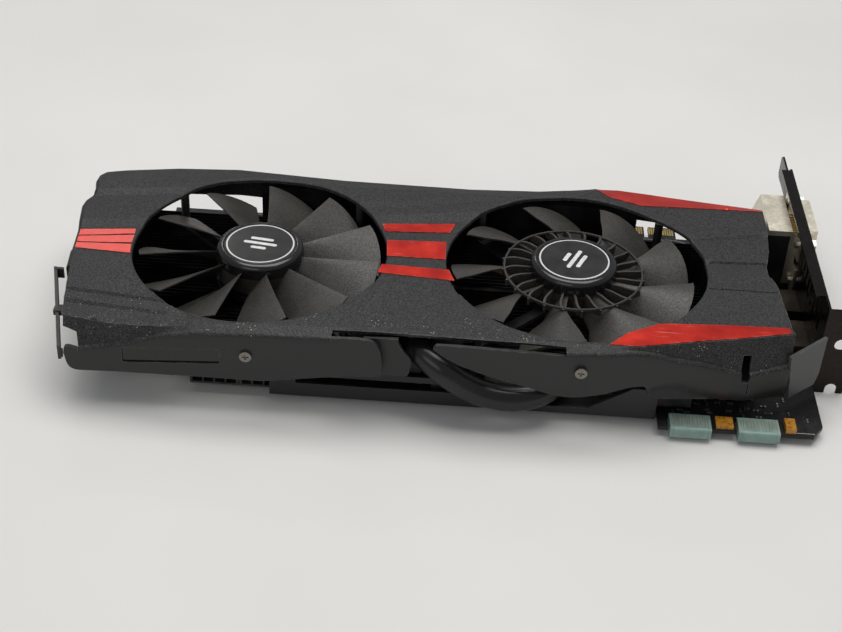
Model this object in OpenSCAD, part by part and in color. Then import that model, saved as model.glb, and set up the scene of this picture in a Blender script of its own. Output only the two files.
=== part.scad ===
// Dual-fan graphics card, lying on its back with the fans facing up.
// Card coordinates: X = 0 is the outer face of the bracket and -X runs to the far end,
// Y = 0 is the tip of the board's edge connector and -Y runs to the card's top edge,
// Z = 0 is the lowest face. in_frame() shifts these so that the origin is bottom centre.

/* [Card] */
// Bracket face to the far end of the end rib
card_len = 289; // [288:0.5:292]
// Board length behind the bracket
board_len = 262; // [256:1:266]
// Board thickness
board_t = 1.6; // [1.4:0.1:1.7]
// Height of the board's lower face above the lowest face
board_z = 3; // [2.8:0.1:3.1]
// Height of the shroud's flat top
shroud_top = 37.6; // [37.4:0.1:38]

/* [Fans] */
// Centre of the far fan along X
fan_far_x = -214.8; // [-215.5:0.1:-214]
// Centre of the near fan along X
fan_near_x = -94.7; // [-95.5:0.1:-94]
// Centre of both fans along Y
fan_y = -81.8; // [-82.5:0.1:-81]
// Radius of the openings in the shroud
opening_r = 48.6; // [48.2:0.1:49]
// Radius over the blade tips
blade_r = 46.6; // [44:0.1:47]
// Radius of the rotor hubs
hub_r = 16.6; // [16.2:0.1:17]
// Blades on the far fan
far_blades = 11; // [7:1:11]
// Blades on the near fan
near_blades = 9; // [7:1:10]
// Short radial blades in the near fan's inner ring
ring_blades = 24; // [16:1:28]

/* [Bracket] */
// Pitch of the expansion slots
slot_pitch = 20.32; // [20.32:0.01:20.32]
// Width of one slot cover
slot_w = 18.42; // [18.2:0.01:18.42]
// Length over tab and tongues
bracket_len = 120.02; // [119:0.01:120.5]
// Sheet thickness of the bracket
bracket_t = 0.86; // [0.8:0.01:1]
// Reach of the screw tab
tab_reach = 11.43; // [11:0.01:11.6]

/* [Heatsink] */
// Distance between fins
fin_pitch = 2.2; // [2:0.1:3]
// Sheet thickness of the fins
fin_t = 0.4; // [0.3:0.1:0.5]
// Radius of the wide heat pipe
wide_pipe_r = 5; // [4.5:0.1:5]
// Radius of the other heat pipes
pipe_r = 4; // [3:0.1:4]

/* [Link caps] */
// Width of a silicone cap
cap_w = 15.1; // [14.8:0.1:15.4]
// Length of a silicone cap
cap_len = 8.9; // [8.5:0.1:9]

/* [Hidden] */
$fn = 48;

board_top = board_z + board_t;
board_near = -128.2;
link_edge = -135;
tongue_tip = 18.02;
tab_seat = tongue_tip - bracket_len;
pipe_y = -134.6;
skirt_y = -137;
bracket_top = slot_pitch + slot_w;
org_x = (card_len - tab_reach) / 2;
org_y = -(tongue_tip + pipe_y - wide_pipe_r) / 2;
sheet_t = 1.2;
fin_low = 8;
fin_floor = 19.5;
fin_high = 33;
recess_r = 52;
stack_near_y = -127.2;
stack_far_y = -34;
hood_far_y = -29.8;
hood_low = 16.6;
fin_count = floor((stack_far_y - stack_near_y) / fin_pitch) + 1;
// First fin of each group along Y, between which the sides of the recesses step
fin_groups = [0, 6, 13, 29, 34, fin_count];
last_group = len(fin_groups) - 2;
lead_gap_x = -148;
gpu_x = -103;
gpu_y = -78;
leg_z = board_top + 7.2;
wide_leg_z = leg_z + 1;
die_top = board_top + 2;
rotor_low = 25;
far_hub_top = 37.6;
near_hub_top = 39.6;
frame_low = 21.6;
frame_t = 1.8;
post_r = 50.2;
dvi_y = -26.5;
dvi_z = [11, 28];
hdmi_y = -58;
display_y = -81;
io_low = board_top;
cap_x = [-50.2, -25.2];
link_tab_w = 12.4;
post_pitch = 33.02;
eps = 0.01;

// Shift from card coordinates to the part's own frame
module in_frame() {
  translate([org_x, org_y, 0])
    children();
}

// A box between two corners
module span(a, b) {
  translate(a)
    cube(b - a);
}

// An outline in the XZ plane, thickened from y towards -Y
module plate_xz(y, t) {
  translate([0, y, 0])
    rotate([90, 0, 0])
      linear_extrude(t)
        children();
}

// An outline in the YZ plane, thickened from x towards +X
module plate_yz(x, t) {
  translate([x, 0, 0])
    rotate([90, 0, 90])
      linear_extrude(t)
        children();
}

// A tube between two heights, with an optional bore
module ring(r_out, r_in, low, high) {
  translate([0, 0, low])
    difference() {
      cylinder(r = r_out, h = high - low);
      translate([0, 0, -1])
        cylinder(r = r_in, h = high - low + 2);
    }
}

// A countersunk cross-head screw along -Z, with its head's top at the origin
module cross_screw(head_r, head_t, shank_r, len) {
  difference() {
    union() {
      translate([0, 0, -head_t])
        cylinder(r = head_r, h = head_t);
      translate([0, 0, -len])
        cylinder(r = shank_r, h = len - head_t + eps);
    }
    for (a = [0, 90])
      rotate([0, 0, a])
        translate([-head_r * 0.55, -head_r * 0.11, -head_t * 0.7])
          cube([head_r * 1.1, head_r * 0.22, head_t]);
  }
}

// ---- swept tubes ----

function blend_point(a, b, c, d, t) =
  0.5 * ((2 * b) + (c - a) * t + (2 * a - 5 * b + 4 * c - d) * t * t
  + (3 * b - a - 3 * c + d) * t * t * t);

// A smooth curve through the points, with the given steps between neighbours
function smooth_path(p, steps) = [
  for (i = [0 : len(p) - 2])
    for (k = [0 : steps - 1])
      blend_point(p[max(i - 1, 0)], p[i], p[i + 1], p[min(i + 2, len(p) - 1)], k / steps),
  p[len(p) - 1]
];

function unit(v) = v / norm(v);

// A closed tube along a path; ref is a direction that the path never follows
module swept_tube(path, r, sides, ref) {
  last = len(path) - 1;
  rings = [
    for (i = [0 : last])
      let (
        t = unit(path[min(i + 1, last)] - path[max(i - 1, 0)]),
        u = unit(cross(ref, t)),
        v = cross(t, u)
      )
      for (k = [0 : sides - 1])
        path[i] + r * (cos(360 * k / sides) * u + sin(360 * k / sides) * v)
  ];
  walls = [
    for (i = [0 : last - 1])
      for (k = [0 : sides - 1])
        let (n = (k + 1) % sides)
        [i * sides + k, (i + 1) * sides + k, (i + 1) * sides + n, i * sides + n]
  ];
  start_cap = [for (k = [0 : sides - 1]) k];
  end_cap = [for (k = [sides - 1 : -1 : 0]) last * sides + k];
  polyhedron(points = rings, faces = concat(walls, [start_cap], [end_cap]), convexity = 6);
}

// ---- board ----

board_outline = [
  [-1, -8.25], [-1, -129.4], [-5, link_edge], [-62, link_edge], [-62, board_near],
  [-205.6, board_near], [-205.6, -125.2], [-234.5, -125.2], [-239, -115], [-board_len, -115],
  [-board_len, -8.25],
  [-134, -8.25], [-134, -4], [-132.4, -4], [-132.4, -8.25],
  [-130.2, -8.25], [-130.2, -1], [-129.2, 0], [-58.55, 0], [-58.55, -8.25],
  [-56.65, -8.25], [-56.65, 0], [-46, 0], [-45, -1], [-45, -8.25]
];

// Places of the screws that hold backplate and board together
board_holes = [
  [-20, -104], [-20, -52], [-140, -20], [-246, -20], [-246, -104], [-150, -118], [-62, -20]
];

bracket_foot = [-5, -96];

// Places of the four sprung screws round the processor
clamp_holes = [for (sx = [-1, 1]) for (sy = [-1, 1]) [gpu_x + 27 * sx, gpu_y + 27 * sy]];

module circuit_board() in_frame() color("#15171a") {
  difference() {
    translate([0, 0, board_z])
      linear_extrude(board_t)
        polygon(board_outline);
    for (h = board_holes)
      translate([h[0], h[1], board_z - 1])
        cylinder(r = 1.6, h = board_t + 2);
    for (h = clamp_holes)
      translate([h[0], h[1], board_z - 1])
        cylinder(r = 1.6, h = board_t + 2);
    translate([bracket_foot[0], bracket_foot[1], board_z - 1])
      cylinder(r = 1.6, h = board_t + 2);
    for (x = cap_x)
      for (s = [-1, 1])
        translate([x + s * (link_tab_w / 2 + 1) - 1, link_edge - 1, board_z - 1])
          cube([2, 7.8, board_t + 2]);
  }
}

module edge_contacts() in_frame() color("#d9b25a") {
  for (z = [board_z - 0.05, board_top]) {
    for (i = [0 : 10])
      translate([-46.6 - i, -5.85, z])
        cube([0.7, 5.2, 0.05]);
    for (i = [0 : 69])
      translate([-60 - i, -5.85, z])
        cube([0.7, 5.2, 0.05]);
  }
}

module link_contacts() in_frame() color("#e0bb62") {
  for (x = cap_x)
    for (z = [board_z - 0.05, board_top])
      for (i = [0 : 12])
        translate([x - 6 + i * 0.94, link_edge + 0.4, z])
          cube([0.6, 4.6, 0.05]);
}

module link_cap(x) color("#8fb5ad") {
  slot_t = board_t + 0.3;
  slot_low = board_z - 0.15;
  difference() {
    span([x - cap_w / 2, link_edge - 2.4, board_z - 1.7],
         [x + cap_w / 2, link_edge - 2.4 + cap_len, board_top + 1.7]);
    translate([x - link_tab_w / 2 - 0.2, link_edge - 0.3, slot_low])
      cube([link_tab_w + 0.4, cap_len, slot_t]);
    for (i = [0 : 5])
      translate([x - 6 + i * 2.1, link_edge - 2.5, board_top + 1.3])
        cube([1, cap_len - 1.2, 0.5]);
  }
}

module link_cap_a() in_frame() link_cap(cap_x[0]);
module link_cap_b() in_frame() link_cap(cap_x[1]);

// ---- back of the board ----

module backplate() in_frame() color("#1d1e20") {
  difference() {
    linear_extrude(1)
      polygon([
        [-8, -112], [-14, -124], [-204, -124], [-207, -117], [-234, -117], [-240, -111], [-260, -111],
        [-260, -14], [-140, -14], [-136, -18], [-44, -18], [-40, -14], [-8, -14]
      ]);
    for (h = board_holes)
      translate([h[0], h[1], -1])
        cylinder(r = 1.6, h = 3);
    span([gpu_x - 24, gpu_y - 24, -1], [gpu_x + 24, gpu_y + 24, 2]);
    for (h = clamp_holes)
      translate([h[0], h[1], -1])
        cylinder(r = 4.5, h = 3);
    for (i = [0 : 8])
      span([-236 + i * 8, -98, -1], [-232 + i * 8, -44, 2]);
  }
}

module backplate_spacers() in_frame() color("#c9b98a") {
  for (h = board_holes)
    translate([h[0], h[1], 0])
      ring(3, 1.3, 1, board_z);
}

module backplate_screws() in_frame() color("#2b2b2d") {
  for (h = board_holes)
    translate([h[0], h[1], 0.15])
      rotate([180, 0, 0])
        cross_screw(1.58, 0.7, 1.25, 4.7);
}

// Long folded rail along the board's top edge, low where the heat pipes pass
rail_outline = [
  [-205.6, board_z], [-205.6, 13.8], [-203.6, 15.2], [-128, 15.2], [-120, 6], [-88, 6],
  [-72, 16.4], [-62.8, 16.4], [-62.8, board_z]
];

module stiffener_rail() in_frame() color("#232426") {
  difference() {
    plate_xz(board_near, 1)
      polygon(rail_outline);
    span([-196, board_near - 2, 9], [-128, board_near + 1, 12.6]);
  }
  span([-200, board_near - eps, board_top], [-130, board_near + 4, board_top + 1]);
}

// ---- parts on the board ----

module gpu_substrate() in_frame() color("#3e5a3a")
  span([gpu_x - 21, gpu_y - 21, board_top], [gpu_x + 21, gpu_y + 21, board_top + 1.2]);

module gpu_die() in_frame() color("#8c8f95")
  span([gpu_x - 9.5, gpu_y - 9.5, board_top + 1.2], [gpu_x + 9.5, gpu_y + 9.5, die_top]);

// Twelve memory packages on three sides of the processor
memory_places = [
  for (i = [0 : 3]) [gpu_x - 33 + i * 17, gpu_y - 36],
  for (i = [0 : 3]) [gpu_x - 33 + i * 17, gpu_y + 36],
  for (i = [0 : 3]) [gpu_x + 37.5, gpu_y - 24 + i * 15]
];

module memory_chips() in_frame() color("#202124") {
  for (m = memory_places)
    span([m[0] - 7, m[1] - 6, board_top], [m[0] + 7, m[1] + 6, board_top + 1.1]);
}

choke_places = [for (i = [0 : 7]) [-166, -112 + i * 11.5]];

module chokes() in_frame() color("#3b3c40") {
  for (c = choke_places)
    difference() {
      span([c[0] - 5, c[1] - 5, board_top], [c[0] + 5, c[1] + 5, board_top + 3]);
      translate([c[0], c[1], board_top + 2.4])
        cylinder(r = 3, h = 1);
    }
}

module regulator_chips() in_frame() color("#1b1c1e") {
  for (c = choke_places)
    span([-184, c[1] - 2.8, board_top], [-178, c[1] + 2.8, board_top + 0.9]);
}

module regulator_heatsink() in_frame() color("#2a2b2e") {
  low = board_top + 0.9;
  span([-186, -116, low], [-176, -27, low + 0.8]);
  for (i = [0 : 3])
    span([-186 + i * 2.9, -116, low + 0.8 - eps], [-184.7 + i * 2.9, -27, 7.5]);
}

can_places = [
  [-200, -108], [-200, -94], [-200, -80], [-200, -66], [-200, -52], [-200, -38],
  [-212, -24], [-224, -24]
];

module can_capacitors() in_frame() color("#26272b") {
  for (c = can_places)
    translate([c[0], c[1], board_top]) {
      span([-3.6, -3.6, 0], [3.6, 3.6, 0.5]);
      translate([0, 0, 0.5 - eps])
        cylinder(r = 3.2, h = 2.4);
    }
}

module edge_blocks() in_frame() color("#b9781e") {
  span([-40.8, -134.4, board_top], [-34.4, -128.6, board_top + 1.3]);
  span([-15.4, -134.6, board_top], [-11.6, -128.2, board_top + 2.2]);
}

module crystal_and_chips() in_frame() color("#6d6f73") {
  span([-52, -116, board_top], [-47, -112.8, board_top + 1.2]);
  span([-34, -117, board_top], [-28, -111, board_top + 0.9]);
  span([-230, -60, board_top], [-222, -52, board_top + 0.9]);
  span([-60, -121.5, board_top], [-57, -119.5, board_top + 0.6]);
  span([-44, -124.5, board_top], [-42, -123.3, board_top + 0.5]);
  span([-22, -124.5, board_top], [-20, -123.3, board_top + 0.5]);
}

// Right-angle power socket with two rows of square cavities that open towards -Y
module power_socket(x, cols) {
  pitch = 4.2;
  half_w = cols * pitch / 2 + 0.7;
  face = -127.4;
  difference() {
    union() {
      span([x - half_w, face, board_top], [x + half_w, face + 12.8, board_top + 9.4]);
      span([x - 3, face, board_top + 9.4 - eps], [x + 3, face + 5, board_top + 10.3]);
    }
    for (c = [0 : cols - 1])
      for (row = [0, 1])
        translate([x + (c - (cols - 1) / 2) * pitch - 1.8, face - 1, board_top + 0.8 + row * 4.2])
          cube([3.6, 10.8, 3.6]);
  }
}

socket_8_x = -226.4;
socket_6_x = -210.1;

module power_socket_8() in_frame() color("#17181a") power_socket(socket_8_x, 4);
module power_socket_6() in_frame() color("#17181a") power_socket(socket_6_x, 3);

module pin_rows(x, cols) {
  for (c = [0 : cols - 1])
    for (row = [0, 1])
      translate([x + (c - (cols - 1) / 2) * 4.2 - 0.5, -123.4, board_top + 2.1 + row * 4.2])
        cube([1, 5.8, 1]);
}

module power_pins() in_frame() color("#d4c089") {
  pin_rows(socket_8_x, 4);
  pin_rows(socket_6_x, 3);
}

module fan_header() in_frame() color("#e9e6dc") {
  for (y = [-84, -78])
    translate([lead_gap_x, y, board_top])
      difference() {
        span([-2.4, -2.6, 0], [2.4, 2.6, 3]);
        span([-1.6, -1.8, 2.2], [1.6, 1.8, 4]);
      }
}

// ---- sockets behind the bracket ----

// D-shaped outline in the YZ plane
module dvi_outline(w, h) {
  polygon([
    [-w / 2, h / 2], [w / 2, h / 2], [w / 2, -h / 2 + 2.4],
    [w / 2 - 2.4, -h / 2], [-w / 2 + 2.4, -h / 2], [-w / 2, -h / 2 + 2.4]
  ]);
}

dvi_block_near = dvi_y - 15;
dvi_block_far = dvi_y + 12.9;
dvi_side = [[-1.7, 8], [-14, 8], [-14, 33], [-4.2, 33], [-1.7, 30]];

module dvi_stack_body() in_frame() color("#1c1c1e") {
  difference() {
    plate_xz(dvi_block_far - 0.6, dvi_block_far - dvi_block_near - 1.2)
      polygon([
        [-1.7, io_low], [-16.7, io_low], [-16.7, 21.6], [-13.3, 32.2], [-5, 32.2], [-1.7, 29]
      ]);
    for (z = dvi_z)
      plate_yz(-7, 8)
        translate([dvi_y, z])
          dvi_outline(24.2, 8.4);
  }
}

module dvi_shells() in_frame() color("#c9c0ad") {
  for (z = dvi_z)
    difference() {
      union() {
        plate_yz(-1.65, 0.75)
          translate([dvi_y, z])
            square([39, 12.6], center = true);
        plate_yz(-1.65, 8)
          translate([dvi_y, z])
            dvi_outline(24.0, 8.2);
      }
      plate_yz(-8, 20)
        translate([dvi_y, z])
          dvi_outline(22.8, 7.0);
      for (s = [-1, 1])
        translate([-4, dvi_y + s * post_pitch / 2, z])
          rotate([0, 90, 0])
            cylinder(r = 1.6, h = 8);
    }
  difference() {
    plate_xz(dvi_block_far, 0.5)
      polygon(dvi_side);
    span([-11, dvi_block_far - 2, 12], [-5, dvi_block_far + 1, 18]);
  }
  difference() {
    plate_xz(dvi_block_near + 0.5, 0.5)
      polygon(dvi_side);
    span([-15, dvi_block_near - 1, 7], [-5, dvi_block_near + 1, 30.8]);
  }
  span([-13.4, dvi_block_near, 32.3], [-4.4, dvi_block_far, 33]);
  plate_xz(dvi_block_far, dvi_block_far - dvi_block_near)
    polygon([[-13.4, 32.3], [-13.4, 33], [-14, 33], [-17.6, 22], [-16.9, 22]]);
}

module dvi_contacts() in_frame() color("#d8b765") {
  for (z = dvi_z)
    for (row = [-1 : 1])
      for (i = [0 : 7])
        translate([-6.8, dvi_y - 10.4 + i * 1.9, z + row * 1.9 - 0.3])
          cube([6.4, 0.6, 0.6]);
  for (i = [0 : 9])
    translate([-18.4, dvi_y - 12.6 + i * 2.6, io_low])
      cube([1.7, 0.7, 9]);
}

module hex_posts() in_frame() color("#cfc9bc") {
  for (z = dvi_z)
    for (s = [-1, 1])
      translate([0, dvi_y + s * post_pitch / 2, z])
        rotate([0, 90, 0])
          difference() {
            union() {
              cylinder(r = 2.75, h = 5, $fn = 6);
              translate([0, 0, -3.2])
                cylinder(r = 1.4, h = 3.3);
            }
            translate([0, 0, -0.5])
              cylinder(r = 1.15, h = 6);
          }
}

// A sheet-metal socket shell, open towards +X, with its mouth at the bracket
module socket_shell(y, w, h, depth, low) {
  difference() {
    span([-depth, y - w / 2, low], [0.6, y + w / 2, low + h]);
    span([-depth + 2.5, y - w / 2 + 0.5, low + 0.5], [2, y + w / 2 - 0.5, low + h - 0.5]);
  }
}

module hdmi_socket() in_frame() color("#b9b2a2")
  socket_shell(hdmi_y, 15, 6.2, 12.5, board_top);

module display_socket() in_frame() color("#a9a294")
  socket_shell(display_y, 17, 6.8, 15.5, board_top);

module io_tongues() in_frame() color("#111214") {
  span([-10, hdmi_y - 5.2, board_top + 2.4], [-1.6, hdmi_y + 5.2, board_top + 3.6]);
  span([-13, display_y - 6.4, board_top + 2.7], [-1.6, display_y + 6.4, board_top + 4.1]);
}

// ---- bracket ----

// The two slot covers with their tongues, in the YZ plane
module bracket_outline() {
  for (k = [0, 1])
    translate([0, k * slot_pitch])
      polygon([
        [tab_seat, 0], [-1, 0], [1.5, 4.1], [tongue_tip - 1.6, 4.1], [tongue_tip, 5.6],
        [tongue_tip, 12.8], [tongue_tip - 1.6, 14.3], [1.5, 14.3], [-1, slot_w], [tab_seat, slot_w]
      ]);
  translate([tab_seat, 0])
    square([98, bracket_top]);
}

module bracket() in_frame() color("#2c2724") {
  difference() {
    plate_yz(-bracket_t, bracket_t)
      bracket_outline();
    for (z = dvi_z)
      plate_yz(-2, 4)
        translate([dvi_y, z])
          dvi_outline(24.6, 8.8);
    for (z = dvi_z)
      for (s = [-1, 1])
        translate([-2, dvi_y + s * post_pitch / 2, z])
          rotate([0, 90, 0])
            cylinder(r = 1.6, h = 4);
    span([-2, hdmi_y - 7.7, board_top - 0.2], [1, hdmi_y + 7.7, board_top + 6.4]);
    span([-2, display_y - 8.7, board_top - 0.2], [1, display_y + 8.7, board_top + 7]);
    for (i = [0 : 7])
      span([-2, -93 + i * 5.4, 21.4], [1, -90.4 + i * 5.4, 36]);
  }
  difference() {
    span([-bracket_t, tab_seat - bracket_t, 0], [tab_reach, tab_seat, bracket_top]);
    translate([6.6, tab_seat + 1, slot_pitch + 2.6])
      rotate([90, 0, 0])
        cylinder(r = 2.6, h = 4);
    translate([6.6, tab_seat + 1, 2.2])
      rotate([90, 0, 0])
        cylinder(r = 2.2, h = 4);
    span([4.4, tab_seat - 2, -1], [8.8, tab_seat + 1, 2.2]);
    span([10, tab_seat - 2, 10.2], [12, tab_seat + 1, 13.4]);
  }
  span([-4.6, -94, bracket_top - 0.8], [-bracket_t + eps, -2, bracket_top]);
  difference() {
    span([-9, -99.5, board_top], [-bracket_t + eps, -92.5, board_top + 1]);
    translate([bracket_foot[0], bracket_foot[1], board_top - 1])
      cylinder(r = 1.6, h = 3);
  }
}

module bracket_screws() in_frame() color("#8e8a82") {
  translate([bracket_foot[0], bracket_foot[1], board_top + 2.2])
    cross_screw(2.4, 1.2, 1.25, 4.6);
}

// ---- heatsink ----

leg_far_x = gpu_x - 13.2;
leg_near_x = gpu_x + 14.6;
wide_leg_x = gpu_x + 4.9;
upper_leg_x = -156.6;
upper_leg_z = 27;

module heatsink_base() in_frame() color("#b87a52") {
  difference() {
    span([gpu_x - 20, gpu_y - 22, die_top], [gpu_x + 20, gpu_y + 22, leg_z + 2.2]);
    for (x = [leg_far_x, leg_near_x])
      translate([x, gpu_y + 23, leg_z])
        rotate([90, 0, 0])
          cylinder(r = pipe_r, h = 46);
    translate([wide_leg_x, gpu_y + 23, wide_leg_z])
      rotate([90, 0, 0])
        cylinder(r = wide_pipe_r, h = 46);
  }
  for (s = [-1, 1])
    difference() {
      span([gpu_x + s * 24 - 7, gpu_y - 31, die_top + 0.4], [gpu_x + s * 24 + 7, gpu_y + 31, die_top + 1.6]);
      for (t = [-1, 1])
        translate([gpu_x + s * 27, gpu_y + t * 27, die_top - 1])
          cylinder(r = 1.6, h = 4);
    }
}

// Centre line of the wide pipe: base leg, sweep outside the rail, upper leg in the far stack
wide_pipe_points = [
  [wide_leg_x, -58, wide_leg_z],
  [wide_leg_x, -88, wide_leg_z],
  [wide_leg_x, -104, wide_leg_z],
  [wide_leg_x, -114, wide_leg_z],
  [-100, -124, 12.8],
  [-105.4, -130.8, 12.8],
  [-112, -133.6, 13],
  [-119, pipe_y, 13.6],
  [-127.4, pipe_y, 16.2],
  [-135.8, pipe_y, 20.6],
  [-143.8, -134.2, 24.8],
  [-152, -131.6, 26.8],
  [-156.3, -127.6, 27],
  [upper_leg_x, -122, upper_leg_z],
  [upper_leg_x, -114, upper_leg_z],
  [upper_leg_x, -90, upper_leg_z],
  [upper_leg_x, -40, upper_leg_z]
];

module wide_heat_pipe() in_frame() color("#1a1b1d")
  swept_tube(smooth_path(wide_pipe_points, 5), wide_pipe_r, 16, [0, 0, 1]);

// A pipe that leaves the base towards +Y, turns outside the fins and returns along a stack
module return_pipe(x_base, x_stack) {
  z = leg_z;
  turn = stack_far_y + 1;
  r = 5;
  dir = sign(x_stack - x_base);
  translate([x_base, gpu_y - 20, z])
    rotate([-90, 0, 0])
      cylinder(r = pipe_r, h = turn - gpu_y + 20);
  translate([x_base + dir * r, turn, z])
    rotate([0, 0, dir > 0 ? 90 : 0])
      rotate_extrude(angle = 90)
        translate([r, 0])
          circle(r = pipe_r);
  translate([x_base + dir * r, turn + r, z])
    rotate([0, dir * 90, 0])
      cylinder(r = pipe_r, h = abs(x_stack - x_base) - 2 * r);
  translate([x_stack - dir * r, turn, z])
    rotate([0, 0, dir > 0 ? 0 : 90])
      rotate_extrude(angle = 90)
        translate([r, 0])
          circle(r = pipe_r);
  translate([x_stack, -110, z])
    rotate([-90, 0, 0])
      cylinder(r = pipe_r, h = turn + 110);
}

stack_pipe_x = [-236, -44];

module heat_pipes() in_frame() color("#2a2a2c") {
  return_pipe(leg_far_x, stack_pipe_x[0]);
  return_pipe(leg_near_x, stack_pipe_x[1]);
}

function fin_y(i) = stack_near_y + i * fin_pitch + fin_t;

// Half the recess's width at a group of fins, taken where the group lies nearest to the fan
function recess_half(g) =
  let (
    from = fin_y(fin_groups[g]) - fan_y,
    to = fin_y(fin_groups[g + 1] - 1) - fan_y,
    reach = from * to < 0 ? 0 : min(abs(from), abs(to))
  )
  sqrt(recess_r * recess_r - reach * reach);

// Fins number first to last, as sheets between two XZ corners, cut for [x, z, r] pipes and
// joined by [x, z, width] strips
module fins(first, last, low, high, pipes, strips) {
  for (i = [first : last])
    plate_xz(fin_y(i), fin_t)
      difference() {
        translate(low)
          square(high - low);
        for (p = pipes)
          translate([p[0], p[1]])
            circle(r = p[2]);
      }
  for (s = strips)
    span(
      [s[0], fin_y(first) - fin_t / 2, s[1]],
      [s[0] + s[2], fin_y(last) - fin_t / 2, s[1] + fin_t + eps]
    );
}

// One group of fins
module fin_group(g, low, high, pipes, strips)
  fins(fin_groups[g], fin_groups[g + 1] - 1, low, high, pipes, strips);

// Short fins over the return pipes, on two strips that reach to the last full fin
module fin_hood(x_from, x_to, strip_x) {
  for (y = [stack_far_y + 1.6 : fin_pitch : hood_far_y])
    plate_xz(y + fin_t, fin_t)
      translate([x_from, hood_low])
        square([x_to - x_from, fin_high - hood_low]);
  for (x = strip_x)
    span([x, fin_y(fin_count - 1), hood_low - fin_t], [x + 4, hood_far_y, hood_low + eps]);
}

// The fins up to the floor of the far fan's recess; the first group clears the power sockets
module fin_stack_far() in_frame() color("#1c1d1f") {
  fin_group(0, [-272, 15.6], [-150, fin_floor], [], [[-268, 15.6 - fin_t, 6], [-190, 15.6 - fin_t, 6]]);
  fins(
    fin_groups[1], fin_count - 1, [-272, fin_low], [-150, fin_floor],
    [[stack_pipe_x[0], leg_z, pipe_r]], [[-268, fin_low - fin_t, 6], [-190, fin_low - fin_t, 6]]
  );
}

// The tall ends of the same fins on both sides of the recess; the far corner has none
module fin_tops_far() in_frame() color("#1c1d1f") {
  strip_z = fin_high - fin_t - eps;
  for (g = [0 : last_group])
    let (half = recess_half(g)) {
      if (g < last_group)
        fin_group(g, [-272, fin_floor], [fan_far_x - half, fin_high], [], [[-272, strip_z, 2]]);
      fin_group(
        g, [fan_far_x + half, fin_floor], [-150, fin_high],
        [[upper_leg_x, upper_leg_z, wide_pipe_r + 0.1]], [[-152, fin_floor, 2]]
      );
    }
  fin_hood(-221, -150, [-216, -172]);
}

// The near stack's legs on both sides of the processor block
module fin_stack_near() in_frame() color("#1c1d1f") {
  strip_z = fin_low - fin_t;
  pipe = [stack_pipe_x[1], leg_z, pipe_r];
  fins(0, fin_count - 1, [-146, fin_low], [gpu_x - 32, fin_floor], [], [[-144, strip_z, 6]]);
  fin_group(0, [gpu_x + 32, fin_low], [-50, fin_floor], [], [[-64, strip_z, 6]]);
  fins(
    fin_groups[1], fin_count - 1, [gpu_x + 32, fin_low], [-23, fin_floor], [pipe], [[-64, strip_z, 6]]
  );
}

// The same fins' low bridge over the processor block and their tall ends beside the recess
module fin_tops_near() in_frame() color("#1c1d1f") {
  bridge_z = wide_leg_z + 5.4;
  strip_z = fin_high - fin_t - eps;
  fins(
    0, fin_count - 1, [gpu_x - 32, bridge_z], [gpu_x + 32, fin_floor], [],
    [[gpu_x - 32, bridge_z, 3], [gpu_x + 29, bridge_z, 3]]
  );
  for (g = [0 : last_group])
    let (half = recess_half(g), left_end = min(gpu_x - 32.4, fan_near_x - half)) {
      if (left_end > -145)
        fin_group(g, [-146, fin_floor], [left_end, fin_high], [], [[-146, strip_z, 2]]);
      if (g < last_group)
        fin_group(
          g, [fan_near_x + half, fin_floor], [g == 0 ? -50 : -23, fin_high], [],
          [[g == 0 ? -52 : -25, strip_z, 2]]
        );
    }
  fin_hood(-146, -66.4, [-142, -70.4]);
}

module spring_screws() in_frame() color("#9a968e") {
  for (h = clamp_holes)
    translate([h[0], h[1], 1.2])
      rotate([180, 0, 0])
        cross_screw(2.6, 1, 1.3, 8);
}

// Conical spring washers between the screws' heads and the board
module clamp_springs() in_frame() color("#a7a9ac") {
  for (h = clamp_holes)
    translate([h[0], h[1], board_z])
      rotate_extrude()
        polygon([[1.5, -0.75], [1.5, -0.5], [2.7, -0.05], [2.7, -0.3]]);
}

// ---- shroud ----

shroud_outline = [
  [-279.2, skirt_y], [-98, skirt_y], [-83, -136], [-68, -133], [-46, -129], [-30, -126.5],
  [-14.5, -121.5], [-16, -115], [-17.6, -89], [-16.7, -60], [-19, -32.2], [-41, -26.2],
  [-65, -22.5], [-84, -22.8], [-107, -26.4], [-135, -28], [-187, -28], [-222, -24.6],
  [-248, -25.7], [-268, -29], [-284, -36], [-284, -52], [-287, -60], [-286, -100]
];

// Moves each corner of an outline inwards by d, for a wall of even thickness
function inset(p, d) = [
  for (i = [0 : len(p) - 1])
    let (
      a = unit(p[i] - p[(i + len(p) - 1) % len(p)]),
      b = unit(p[(i + 1) % len(p)] - p[i]),
      na = [-a[1], a[0]],
      nb = [-b[1], b[0]],
      m = na + nb
    )
    p[i] + m * (2 * d / (m * m))
];

// Lengthwise cross-section below the top sheet's outer face, sunk by d
module roof_profile(d) {
  plate_yz(-300, 300)
    polygon([
      [-150, -1], [-150, shroud_top - 2.2 - d], [-138, shroud_top - 1.4 - d],
      [-131, shroud_top - d], [-40, shroud_top - d], [-22, shroud_top - 3 - d], [0, -1]
    ]);
}

module shroud_block(edge, d, low) {
  intersection() {
    translate([0, 0, low])
      linear_extrude(60)
        polygon(inset(shroud_outline, edge));
    roof_profile(d);
  }
}

// What is cut away from the near side below the roof: the hem and the gap between the skirts
module skirt_window() {
  plate_xz(-120, 30)
    polygon([
      [-300, -5], [-300, 15], [-207, 15.4], [-190, 20], [-164, 21], [-164, 30],
      [-168, 34.6], [-147, 34.6], [-139, 30], [-124, 23.4], [-112, 18.6], [-104, 15.6], [-97, 13.6],
      [-60, 12.4], [-30, 10.4], [-8, 10.2], [-8, -5]
    ]);
}

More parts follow.
